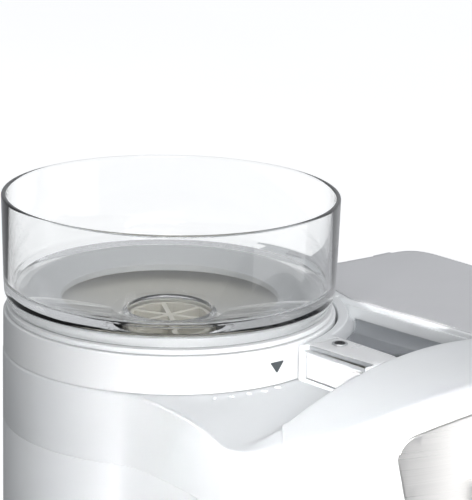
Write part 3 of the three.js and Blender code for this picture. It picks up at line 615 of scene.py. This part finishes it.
EDGE_ROUND = 1.6     # along the side walls
BOW_ROUND = 7.0      # along the bowed front
TIP_ROUND = 13.0     # at the front corners
OUTLINE = body_outline()


def edge_radii():
    """Radius of the upper edge at each point of the outline: small at the sides, large at the tips."""
    forward = -100 - OUTLINE[:, 1]
    from_tip = np.minimum(np.linalg.norm(OUTLINE - LEFT_TIP, axis=1),
                          np.linalg.norm(OUTLINE - RIGHT_TIP, axis=1))
    at_bow = smoothstep(forward / 20)
    at_tip = smoothstep((24 - from_tip) / 20) * smoothstep(forward / 14)
    return EDGE_ROUND + (BOW_ROUND - EDGE_ROUND) * at_bow + (TIP_ROUND - BOW_ROUND) * at_tip


RADII = edge_radii()
SHELF_FALL = 4.6     # how much lower the shelf is at its front left corner


def shelf_height(x, y):
    return SHELF - SHELF_FALL * smoothstep((-74 - y) / 38) * smoothstep((10 - x) / 30)


def arch_height(x):
    return ARCH_CENTRE + np.sqrt(np.clip(ARCH_R ** 2 - (x - MID) ** 2, 1, None))


def soft_max(a, b, k):
    h = np.clip(k - np.abs(a - b), 0, None) / k
    return np.maximum(a, b) + h * h * k / 4


def head_height(x, y):
    return soft_max(shelf_height(x, y), arch_height(x), 7.0)


def cover_height(x, y):
    """The shelf, rising to meet the end of the head."""
    shelf = shelf_height(x, y)
    beside_head = np.maximum(smoothstep((-28 - x) / 10), smoothstep((x - 118) / 10))
    near = smoothstep((-104.5 - y) / 5) * beside_head
    return shelf + (head_height(x, y) - shelf) * near


# ---- casing --------------------------------------------------------------------------------------
def well_blank(radius, z0, z1):
    return rod(radius, z0, z1, segments=192)


# The lid's left edge, from the front to the back: it goes round the hopper well.
LID_LEFT = [(76.1, DECK_FRONT), (70.9, -35.5), (73.2, -27), (75.4, -20), (76.6, -10), (77, 0),
            (77, LID_BACK)]
LID_SLANT = 4.5      # how far the lid's back edge draws in towards its outer corner


def lid_outline(grow):
    """The grey lid's plan; grow moves its left edge outwards."""
    left = [(x - grow, y) for x, y in LID_LEFT]
    edge = RIGHT - 0.02
    turn, end = (edge, LID_BACK - 20), (edge - 12, LID_BACK - LID_SLANT)
    front = line(left[0], (RIGHT - 0.4, DECK_FRONT)) + line((edge, SIDE_END), turn)
    back = bezier([turn, (edge, LID_BACK - 5), end], 16) + line(end, left[-1])
    left_edge = [p for a, b in zip(left[::-1], left[-2::-1]) for p in line(a, b)]
    return front + back + left_edge


RIM_X, RIM_TOP_R = 2.5, 72.7                 # outer edge of the band round the well
FOOT_X, FOOT_Y, FOOT_R = 14.0, 3.0, 69.4     # foot of the band's slope, on the window's level


def recess_outline(clear=0.0):
    """Plan of the window's recess, which the band round the well bounds at the back."""
    left, front, rim = 29.6 + clear, INNER_FRONT + clear, RIM_TOP_R + clear
    near, far = 69.7 - clear, 75.1 - clear
    a0, a1 = -math.acos((left - RIM_X) / rim), -math.acos((near - RIM_X) / rim)
    return (line((left, front), (far, front)) + line((far, front), (near, rim * math.sin(a1)))
            + arc(RIM_X, 0, rim, a1, a0) + line((left, rim * math.sin(a0)), (left, front)))


MARKER = math.radians(-91.5)          # where the setting ring's marker points at rest
DOTS = 5
DOT_FIRST, DOT_STEP = -92.6, 5.85     # degrees
DOT_REACH, DOT_RADIUS = 72.0, 1.7     # of the first dot; the others lie further out and shrink


def dot_places():
    """Angle, distance from the axis and radius of each of the dots, largest first."""
    return [(math.radians(DOT_FIRST - DOT_STEP * i), DOT_REACH + 0.7 * i, DOT_RADIUS - 0.22 * i)
            for i in range(DOTS)]


def dome(x, y, z, radius, rise, depth=1.0):
    """Small raised dot with a foot that reaches into what it stands on."""
    profile = [(0, z - depth), (radius, z - depth), (radius, z)]
    profile += [(radius * math.cos(a), z + rise * math.sin(a)) for a in (0.25, 0.5, 0.75, 1.0, 1.25)]
    return turned(profile + [(0, z + rise)], 24, (x, y))


def upper_cover():
    """Tower top and shelf, low rear deck, and the raised deck round the hopper well."""
    begin = math.asin(LID_BACK / TOWER_R)
    front = (arc(0, 0, TOWER_R, math.pi / 2, LEAVE) + left_side()
             + line(LEFT_TIP, (MID - HEAD_HALF, HEAD_BACK), 1.0)
             + line((MID - HEAD_HALF, HEAD_BACK), (MID + HEAD_HALF, HEAD_BACK), 1.5)
             + line((MID + HEAD_HALF, HEAD_BACK), RIGHT_TIP, 1.0) + right_side()
             + line((RIGHT, SIDE_END), (RIGHT, LID_BACK))
             + line((RIGHT, LID_BACK), (TOWER_R * math.cos(begin), LID_BACK))
             + arc(0, 0, TOWER_R, begin, math.pi / 2))
    plain = (OUTLINE[:, 0] > 100) & (OUTLINE[:, 1] > -104)
    rims = [(ccw(front), 0.15), (OUTLINE, np.where(plain, 0.01, RADII))]
    shelf = slab(front, SEAM, cover_height, rims=rims, foot=0.12,
                 fine=[((LEFT, BOW_Y), (-18, -92), 1.2), ((118, BOW_Y), (RIGHT, -98), 1.5)])
    lap = LID_BACK - 4
    rear = (line((RIGHT, lap), (RIGHT, BACK - BACK_ROUND)) + back_corner()
            + line((RIGHT - BACK_ROUND, BACK), (0, BACK)) + line((0, BACK), (0, lap))
            + line((0, lap), (RIGHT, lap)))
    rear_deck = slab(rear, SEAM, flat(REAR_DECK), rims=[(OUTLINE, 2.5)])

    reach, meet = math.asin(LID_BACK / WELL_R), -math.acos(BLOCK_X / WELL_R)
    edge = LID_X + WALL
    deck = (arc(0, 0, WELL_R, reach, meet)
            + line((BLOCK_X, WELL_R * math.sin(meet)), (BLOCK_X, DECK_FRONT))
            + line((BLOCK_X, DECK_FRONT), (edge, DECK_FRONT))
            + line((edge, DECK_FRONT), (edge, LID_BACK))
            + line((edge, LID_BACK), (WELL_R * math.cos(reach), LID_BACK)))
    deck_block = slab(deck, DECK_LOW, flat(DECK), 0.9, holes=[(recess_outline(), 0.7)], foot=0)
    window_floor = slab(inset(recess_outline(), -1.0), DECK_LOW, flat(WINDOW_FLOOR), 0.0, foot=0)
    lid_block = slab(lid_outline(1.5), DECK_LOW, flat(LID_SEAT), 0.4, foot=0)
    slope = combine(loft(circle(FOOT_X, FOOT_Y, FOOT_R), WINDOW_FLOOR - 1,
                         circle(RIM_X, 0, RIM_TOP_R - 0.2), DECK - 0.9),
                    cuts=[well_blank(WELL_R + 0.5, DECK_LOW - 1, DECK)],
                    keeps=[box(28.9, 70.6, -100, -20, DECK_LOW, DECK)])

    under_shelf, room_back = SHELF - WALL, LID_BACK - WALL
    room_front = HEAD_BACK + WALL
    room = combine(prism(inset(OUTLINE, WALL), SEAM - 1, under_shelf),
                   cuts=[box(-5, BEYOND, room_back, 80, REAR_DECK - WALL, SHELF),
                         box(-BEYOND, BEYOND, -BEYOND, room_front, SEAM - 2, SHELF + 1),
                         box(-BEYOND, BEYOND, -BEYOND, -74, under_shelf - SHELF_FALL, SHELF + 1)])
    under_window = combine(box(BLOCK_X + 2, LID_X, room_front, room_back, ROOM_LOW, WINDOW_FLOOR - 2),
                           cuts=[well_blank(WELL_R + WALL, SHELF - 8, DECK)])
    lid_room = box(LID_X + WALL, RIGHT - WALL, room_front, room_back, ROOM_LOW, DECK + 1)
    step = [(x - 0.2, y) for x, y in LID_LEFT]
    lid_step = prism([(BEYOND, LID_BACK + 1), (step[-1][0], LID_BACK + 1), *step[::-1],
                      (step[0][0], HEAD_BACK - 1), (BEYOND, HEAD_BACK - 1)], LID_SEAT, DECK + 1)
    chute_room = box(BLOCK_X + 3.6, LEDGE_X - 0.3, room_front, DOOR_BACK, ROOM_LOW, DECK + 1)
    cover_seat = box(BLOCK_X - 1, LEDGE_X + 0.6, HEAD_BACK + 0.6, -71.6, DECK - 2.3, DECK + 1)
    doorway = box(BLOCK_X - 1, BLOCK_X + 4, INNER_FRONT, DOOR_BACK, SHELF + 1.5, DECK - 2.5)
    dots = [dome(reach * math.cos(a), reach * math.sin(a), SHELF + 0.05, r, 0.8)
            for a, reach, r in dot_places()]
    shape = combine(shelf, joins=[rear_deck, deck_block, window_floor, lid_block, slope, *dots],
                    cuts=[lid_step, room, rod(TOWER_R - WALL, SEAM - 1, under_shelf), under_window,
                          lid_room, chute_room, cover_seat, doorway,
                          well_blank(58, SHELF - 4, SHELF + 1)])
    add_piece("upper_casing", shape, "casing", "white_shell", ["upper_cover"])


def smoked_window():
    pane = slab(recess_outline(0.35), WINDOW_FLOOR + 0.3, flat(WINDOW_FLOOR + 1.5), 0.4, foot=0.1)
    pane = combine(pane, cuts=[rod(FOOT_R + 0.4, WINDOW_FLOOR - 1, DECK, FOOT_X, FOOT_Y, 192)])
    add_piece("window_pane", pane, "casing", "smoked_clear", ["smoked_window"])


SCREW_X, SCREW_Y = 22.5, -79.5


def chute_cover():
    """Milky plate over the chute, with a grey strip along its left edge that is painted shade: it
    stands in for the shaded groove under that edge.
    """
    back, front = -71.9, HEAD_BACK + 0.9
    near, far, right = 12.5, 14.9, LEDGE_X + 0.4
    hole = arc(SCREW_X, SCREW_Y, 1.9, 0, 2 * math.pi, 0.6)
    plate = slab(polyline([(near, back), (right, back), (right, front), (far, front)]),
                 DECK - 2, flat(DECK), 0.3, holes=[(hole, 0.1)], foot=0.2)
    plate = combine(plate, cuts=[well_blank(WELL_R + 1.2, DECK - 3, DECK + 1)])
    # Painted shade: this grey metal strip below the plate's left edge stands where the groove under the
    # edge would lie dark in shade.
    shade_strip_back = back - 1.2
    edge = prism([(near - 0.6, shade_strip_back), (near - 0.1, shade_strip_back), (far - 0.1, front),
                  (far - 0.6, front)], DECK - 1.7, DECK - 0.1)
    add_piece("chute_plate_shade_strip", edge, "casing", "zinc_steel")
    add_piece("chute_plate", plate, "casing", "frosted_clear", ["chute_cover"])


def chute_screw():
    """Black cross-head screw, with a washer round its head."""
    x, y = SCREW_X, SCREW_Y
    head = rounded_profile([(0, DECK - 4, 0), (1.5, DECK - 4, 0), (1.5, DECK + 0.2, 0),
                            (2.2, DECK + 0.2, 0.1), (2.2, DECK + 0.9, 0.5), (0, DECK + 1.1, 0)])
    slots = [box(x - 1.3, x + 1.3, y - 0.25, y + 0.25, DECK + 0.7, DECK + 3),
             box(x - 0.25, x + 0.25, y - 1.3, y + 1.3, DECK + 0.7, DECK + 3)]
    add_piece("chute_cover_screw", combine(turned(head, 40, (x, y)), cuts=slots), "casing",
              "black_plastic", ["chute_screw"])
    ring = rounded_profile([(2.35, DECK + 0.15, 0.1), (3.2, DECK + 0.15, 0.1), (3.2, DECK + 0.7, 0.2),
                            (2.35, DECK + 0.7, 0.1)])
    add_piece("chute_cover_washer", turned(ring, 48, (x, y)), "casing", "zinc_steel", ["chute_washer"])


def chute_door():
    flap = slab(polyline([(-105, SHELF + 2), (-73.8, SHELF + 2), (-73.8, DECK - 4), (-105, DECK - 4)]),
                0.2, flat(1.6), 0.3, foot=0.3)
    flap = [(BLOCK_X + 1.8 - w, u, v) for u, v, w in flap[0]], flap[1]
    roll = turned([(0, -105), (0.9, -105), (0.99, -104.9), (0.99, -73.9), (0.9, -73.8), (0, -73.8)], 24,
                  (BLOCK_X + 1, DECK - 3.6), "y")
    add_piece("chute_flap", combine(flap, joins=[roll]), "door", "frosted_clear", ["chute_door"])


def storage_lid():
    plate = slab(inset(lid_outline(0), 0.05), LID_TOP - 2.5, flat(LID_TOP - 0.02), 0.6, foot=0.4)
    hinge_y, hinge_z = LID_BACK - 1.3, 246.2
    knuckles = []
    for x0, x1 in ((85, 95), (130, 140)):
        barrel = [(0.9, x0), (1.7, x0), (1.8, x0 + 0.1), (1.8, x1 - 0.1), (1.7, x1), (0.9, x1)]
        knuckles.append(turned(barrel, 32, (hinge_y, hinge_z), "x"))
        knuckles.append(box(x0, x1, hinge_y - LID_SLANT - 2, hinge_y + 1.1, hinge_z + 1.2,
                            LID_TOP - 1.2))
    add_piece("lid_panel", combine(plate, joins=knuckles), "lid", "lid_grey", ["storage_lid"])


PANEL = {"half_top": 55.5, "half_bottom": 46.0, "bottom": 172.0, "corner": 8.0, "arch": ARCH_R - 9.5}


def panel_outline(grow=0.0):
    """The steel panel seen from the front, as (x, z)."""
    top_r, half_top = PANEL["arch"] + grow, PANEL["half_top"] + grow
    half_bottom, bottom, r = PANEL["half_bottom"] + grow, PANEL["bottom"] - grow, PANEL["corner"]
    end = math.acos((half_top - r) / top_r)
    shoulder = ARCH_CENTRE + top_r * math.sin(end)
    right_down = bezier([(MID + half_top - r, shoulder), (MID + half_top, shoulder - 1.5),
                         (MID + half_top, shoulder - r - 2)], 10)
    right_base = bezier([(MID + half_bottom, bottom + r), (MID + half_bottom - 1, bottom),
                         (MID + half_bottom - r, bottom)], 10)
    flank = line((MID + half_top, shoulder - r - 2), (MID + half_bottom, bottom + r))
    side = right_down + flank + right_base
    mirrored = [(2 * MID - x, z) for x, z in side[::-1]]
    base = line((MID + half_bottom - r, bottom), (mirrored[0][0], bottom))
    return ccw(arc(MID, ARCH_CENTRE, top_r, math.pi - end, end) + side + base + mirrored)


def front_head():
    """Arched head: a hollow shell with a seat for the steel panel and an opening at the back."""
    body, hollow = head_outline(SEAM_GAP), head_outline(3.4)
    behind = (body[:, 1] > HEAD_BACK - 0.4) & (np.abs(body[:, 0] - MID) < HEAD_HALF - 3)
    outer = slab(body, HEAD_BASE, head_height,
                 rims=[(body, np.where(behind, 1.5, 0.15)), (OUTLINE, RADII)])
    inner = slab(hollow, HEAD_BASE - 1, lambda x, y: head_height(x, y) - 5.5, 0.0,
                 rims=[(hollow, 9.0)], foot=0)
    opening = box(MID - 74, MID + 74, HEAD_BACK - 5, HEAD_BACK + 1, HEAD_BASE - 1, 228)
    seat = combine(turned_forward(prism(panel_outline(0.4), 130, 170)),
                   cuts=[rod(BOW_R - 1.9, 100, RIM, MID, 0, 384)])
    shape = combine(outer, cuts=[inner, opening, seat, *control_bores()])
    add_piece("head_cover", shape, "casing", "white_shell", ["front_head"])


KNOB_Z, KNOB_R, KNOB_OUT = 205.0, 17.0, 13.0
BUTTON_X, BUTTON_Z, BUTTON_R = 78.0, 205.0, 7.0


def bore(radius, x, z, segments):
    front, back = -172, -138
    return turned([(0, front), (radius, front), (radius, back), (0, back)], segments, (x, z), "y")


def control_bores():
    return [bore(4.5, MID, KNOB_Z, 48), bore(BUTTON_R + 0.6, BUTTON_X, BUTTON_Z, 64)]


def steel_panel():
    """Pressed steel sheet that follows the bow, with a rolled edge."""
    sheet = slab(panel_outline(), 0, flat(1.2), 0.9, foot=0.1, grid=4.0)
    wrapped = []
    for x, z, rise in sheet[0]:
        r = BOW_R - 1.5 + rise
        wrapped.append((x, -math.sqrt(r * r - (x - MID) ** 2), z))
    add_piece("panel_sheet", combine((wrapped, sheet[1]), cuts=control_bores()), "casing",
              "brushed_steel", ["steel_panel"])


def dose_knob():
    front, skirt, stem_end = -BOW_R - KNOB_OUT, -BOW_R - 0.6, -146
    cap = rounded_profile([(0, front + 0.9, 0), (13.2, front + 0.9, 0.8), (14, front, 0.5),
                           (KNOB_R, front, 1.6), (KNOB_R, -BOW_R - 2.4, 0.4),
                           (KNOB_R - 0.7, -BOW_R - 2.2, 0.2), (KNOB_R - 0.7, skirt, 0.2),
                           (3.4, skirt, 0), (3.4, stem_end, 0.3), (0, stem_end, 0)])
    pointer = box(MID - 0.7, MID + 0.7, front - 1, front + 1.4, KNOB_Z + 6, KNOB_Z + 12)
    add_piece("knob_cap", combine(turned(cap, 128, (MID, KNOB_Z), "y"), cuts=[pointer]), "knob",
              "brushed_steel", ["dose_knob"])


def start_button():
    """Dished button with a hollow back, which takes the spring in."""
    face, back, hollow, stem_end = -BOW_R - 0.5, -149, -152, -145.5
    button = rounded_profile([(0, face + 0.7, 0), (4.2, face + 0.5, 1.5), (5.6, face, 0.6),
                              (BUTTON_R, face + 0.1, 0.7), (BUTTON_R, back, 0.3), (3.8, back, 0),
                              (3.8, hollow, 0), (1.6, hollow, 0), (1.6, stem_end, 0.2),
                              (0, stem_end, 0)])
    add_piece("button_cap", turned(button, 72, (BUTTON_X, BUTTON_Z), "y"), "button", "white_ring",
              ["start_button"])


BAY = (-20.0, 110.0, -74.0, 34.0, 150.0)     # left, right, back, floor and ceiling of the bay
VENTS = 7


def vent(number):
    """Round-ended slot through the back wall."""
    z, half, r = 97.75 + 9 * number, 1.75, 1.7
    slot = filleted([(20, z - half, r), (110, z - half, r), (110, z + half, r), (20, z + half, r)])
    return turned_forward(prism(slot, -72, -60))


def lower_housing():
    x0, x1, back, z0, z1 = BAY
    outer = slab(OUTLINE, BASE, flat(SEAM - SEAM_GAP), 0.15, foot=2.2, grid=12.0)
    liner = box(x0 - WALL, x1 + WALL, -BEYOND, back + WALL, z0 - WALL, z1 + WALL)
    room = combine(prism(inset(OUTLINE, WALL), BASE - 1, SEAM + 1), cuts=[liner])
    head_room = prism(head_outline(-0.02), HEAD_BASE - GAP, SEAM + 1)
    bay = box(x0, x1, -BEYOND, back, z0, z1)
    spout_hole = box(14.55, 27.95, -105.7, -88.3, z1 - 1, z1 + 4)
    inlet_hole = box(98.6, 125.4, 60, 72, 32.6, 51.4)
    switch_hole = box(66.6, 83.4, 60, 72, 30.6, 53.4)
    shape = combine(outer, cuts=[room, head_room, bay, spout_hole, inlet_hole, switch_hole,
                                 *[vent(i) for i in range(VENTS)]])
    add_piece("lower_casing", shape, "casing", "white_shell", ["lower_housing"])


def base_tray():
    plate = slab(inset(OUTLINE, 0.4), 6, flat(BASE - GAP), 0.2, foot=1.2, grid=14.0)
    posts = [rod(2.5, BASE - 1, 15.7, x, y, 24) for x in (99, 134) for y in (-46, 16)]
    add_piece("base_tray", combine(plate, joins=posts), "casing", "white_shell", ["base_plate"])


def bay_outline(clear, radius, corner):
    """Plan of what slides into the bay: straight sides and back, bowed front, rounded corners."""
    x0, x1, back = BAY[0] + clear, BAY[1] - clear, BAY[2] - clear
    half = (x1 - x0) / 2
    end = math.asin((half - corner) / radius)
    side_y = -radius * math.cos(math.asin(half / radius))
    front = arc(MID, 0, radius, -math.pi / 2 - end, -math.pi / 2 + end)
    right = bezier([(MID + radius * math.sin(end), -radius * math.cos(end)), (x1, side_y - 0.3),
                    (x1, side_y + corner)], 8)
    left = [(2 * MID - x, y) for x, y in right[::-1]]
    return ccw(left + front + right + line((x1, side_y + corner), (x1, back))
               + line((x1, back), (x0, back)) + line((x0, back), (x0, side_y + corner)))


def grounds_container():
    top = 138.0
    bin_outer = slab(bay_outline(1, 151, 4), BAY[3] + 0.5, flat(top), 0.5, foot=2.0, grid=12.0)
    bin_inner = slab(bay_outline(3, 149, 3), BAY[3] + 2.5, flat(top + 1), 0.0, foot=1.5, grid=14.0)
    left, right = MID - 27, MID + 27
    grip = slab(filleted([(left, 104, 4), (right, 104, 4), (right, 116, 4), (left, 116, 4)]),
                148, flat(156.3), 2.0, foot=0)
    shape = combine(bin_outer, joins=[turned_forward(grip)], cuts=[bin_inner])
    add_piece("container_bin", shape, "container", "smoked_clear", ["grounds_container"])
    cover = slab(bay_outline(1, 151, 4), top + 0.3, flat(top + 2.3), 0.7, foot=0.3, grid=12.0)
    hole = prism(filleted([(11.25, -109, 2), (31.25, -109, 2), (31.25, -85, 2), (11.25, -85, 2)]),
                 top, top + 4)
    add_piece("container_cover", combine(cover, cuts=[hole]), "container", "slate_plastic",
              ["container_lid"])


def feet():
    for name in ("foot_front_left", "foot_front_right", "foot_rear_right", "foot_rear_left"):
        low, high = (v * 1000 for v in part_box(name))
        x, y = (low.x + high.x) / 2 - AXIS.x, (low.y + high.y) / 2 - AXIS.y
        profile = rounded_profile([(0, high.z, 0), (8.9, high.z, 0.3), (8.9, 3.2, 0.6), (8.2, 0, 1.2),
                                   (6.0, 0, 0.3), (5.4, 0.8, 0.3), (0, 0.8, 0)])
        add_piece(name + "_pad", turned(profile, 64, (x, y)), "casing", "rubber", [name])


# ---- hopper and ring -----------------------------------------------------------------------------
def hopper():
    floor = RIM - 36
    profile = rounded_profile([
        (70, RIM, 0.9), (69.05, floor, 0.5), (68.75, RIM - 40.7, 1.2), (66.6, RIM - 46.4, 0.5),
        (65.0, RIM - 46.4, 0.4), (66.1, RIM - 41.6, 0.5), (60, RIM - 42, 3), (24, RIM - 51.6, 2),
        (19.4, RIM - 52.2, 1), (19.4, RIM - 61, 0.4), (17.6, RIM - 61, 0.4), (17.6, RIM - 49.9, 1.2),
        (24.5, RIM - 49, 3), (66.2, floor - 0.6, 2.2), (67.9, RIM, 0.9)], 6)
    add_piece("hopper_shell", turned(profile, 240), "hopper", "clear_hopper", ["hopper_bowl"], 50)
    low = RIM - 48.8
    band = rounded_profile([(46, low, 0.3), (68, low, 0.4), (68, low + 2, 0.5), (64.5, low + 2, 0.3),
                            (64.5, low + 6.2, 0.8), (60, low + 6.2, 1), (46, low + 2.6, 0.5)])
    add_piece("hopper_collar", turned(band, 240), "hopper", "white_ring", ["hopper_base"], 50)


def dial():
    low, high = (v * 1000 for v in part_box("dial_ring"))
    outer, inner = 69.15, 61.8
    profile = rounded_profile([(inner, low.z, 0.4), (outer, low.z, 0.15), (outer, high.z, 0.7),
                               (inner, high.z, 0.4)], 6)
    add_piece("setting_ring", turned(profile, 240), "dial", "white_ring", ["dial_ring"])
    half, top = 3.5, RIM - 55.2
    triangle = filleted([(-half, top, 0.3), (0, top - 4.7, 0.4), (half, top, 0.3)], 3)
    verts, faces = prism(triangle, 68.6, 69.35)
    turn = MARKER + math.pi / 2
    bent = [(u * math.cos(turn) + w * math.sin(turn), u * math.sin(turn) - w * math.cos(turn), v)
            for u, v, w in verts]
    add_piece("setting_marker", (bent, faces), "dial", "slate_plastic", ["dial_marker"])


# ---- room ----------------------------------------------------------------------------------------
def softbox(name, place, target, size, power, spread=180):
    """Rectangular light at place, facing target; power in watts, spread in degrees."""
    data = bpy.data.lights.new(name, "AREA")
    data.shape = "RECTANGLE"
    data.size, data.size_y = size
    data.energy = power
    data.spread = math.radians(spread)
    light = bpy.data.objects.new(name, data)
    bpy.context.scene.collection.objects.link(light)
    light.location = place
    light.rotation_euler = (Vector(target) - Vector(place)).to_track_quat("-Z", "Y").to_euler()


def around(azimuth, distance, height):
    """A place in metres about the model's middle; azimuth in degrees from +X towards +Y."""
    a = math.radians(azimuth)
    return (distance * math.cos(a), distance * math.sin(a), height)


def surroundings():
    """Studio walls: bright to the front right, dim to the left rear and below."""
    world = bpy.data.worlds.new("surroundings")
    world.use_nodes = True
    tree = world.node_tree
    place = tree.nodes.new("ShaderNodeTexCoord").outputs["Generated"]
    side = tree.nodes.new("ShaderNodeVectorMath")
    side.operation = "DOT_PRODUCT"
    side.inputs[1].default_value = (0.70, -0.60, 0.38)
    tree.links.new(place, side.inputs[0])
    spread = tree.nodes.new("ShaderNodeMapRange")
    spread.inputs["From Min"].default_value, spread.inputs["From Max"].default_value = -0.9, 0.9
    tree.links.new(side.outputs["Value"], spread.inputs["Value"])
    ramp = tree.nodes.new("ShaderNodeValToRGB")
    ramp.color_ramp.elements[0].color = (0.13, 0.134, 0.138, 1)
    ramp.color_ramp.elements[1].color = (0.70, 0.715, 0.74, 1)
    tree.links.new(spread.outputs["Result"], ramp.inputs["Fac"])
    tree.links.new(ramp.outputs["Color"], tree.nodes["Background"].inputs["Color"])
    return world


def room():
    bpy.context.scene.world = surroundings()
    bpy.context.scene.view_settings.view_transform = "Standard"
    floor = bpy.data.meshes.new("floor")
    reach = 14.0
    corners = [(-reach, -reach, 0), (reach, -reach, 0), (reach, reach, 0), (-reach, reach, 0)]
    floor.from_pydata(corners, [], [(0, 1, 2, 3)])
    n = Nodes("floor")
    n.link(n.ramp(n.noise(2.0), [(0.3, (0.90, 0.90, 0.90)), (0.7, (0.93, 0.93, 0.93))]),
           n.shader.inputs["Base Color"])
    n.set(Roughness=0.9, Emission_Color=(1, 1, 1, 1), Emission_Strength=0.5)
    floor.materials.append(n.material)
    ground = bpy.data.objects.new("floor", floor)
    bpy.context.scene.collection.objects.link(ground)
    ground.visible_diffuse = False
    ground.visible_glossy = False
    softbox("key", around(238, 1.8, 0.82), (0, 0, 0.2), (1.2, 0.9), 21)
    softbox("left", around(186, 1.5, 0.6), (0, 0, 0.25), (1.5, 1.2), 0.5)
    softbox("top", (0.1, 0.2, 1.7), (0.05, 0, 0.2), (1.4, 1.4), 1.8)
    softbox("waist", around(206, 1.6, 0.30), (-0.075, -0.075, 0.215), (0.1, 0.1), 0.078, 9)
    softbox("card", around(308, 0.9, 0.04), (0, 0, 0.2), (0.8, 0.5), 1.5)


def dress_frame():
    """Gives every CAD node that still shows the material of its slot."""
    for part in frame["record"]["subparts"]:
        node = frame["nodes"][part["node"]]
        node.data.materials.clear()
        node.data.materials.append(MATERIALS[part["material_slot"]])


make_camera()
room()
dress_frame()
hopper()
dial()
upper_cover()
smoked_window()
chute_cover()
chute_screw()
chute_door()
storage_lid()
front_head()
steel_panel()
dose_knob()
start_button()
lower_housing()
base_tray()
grounds_container()
feet()
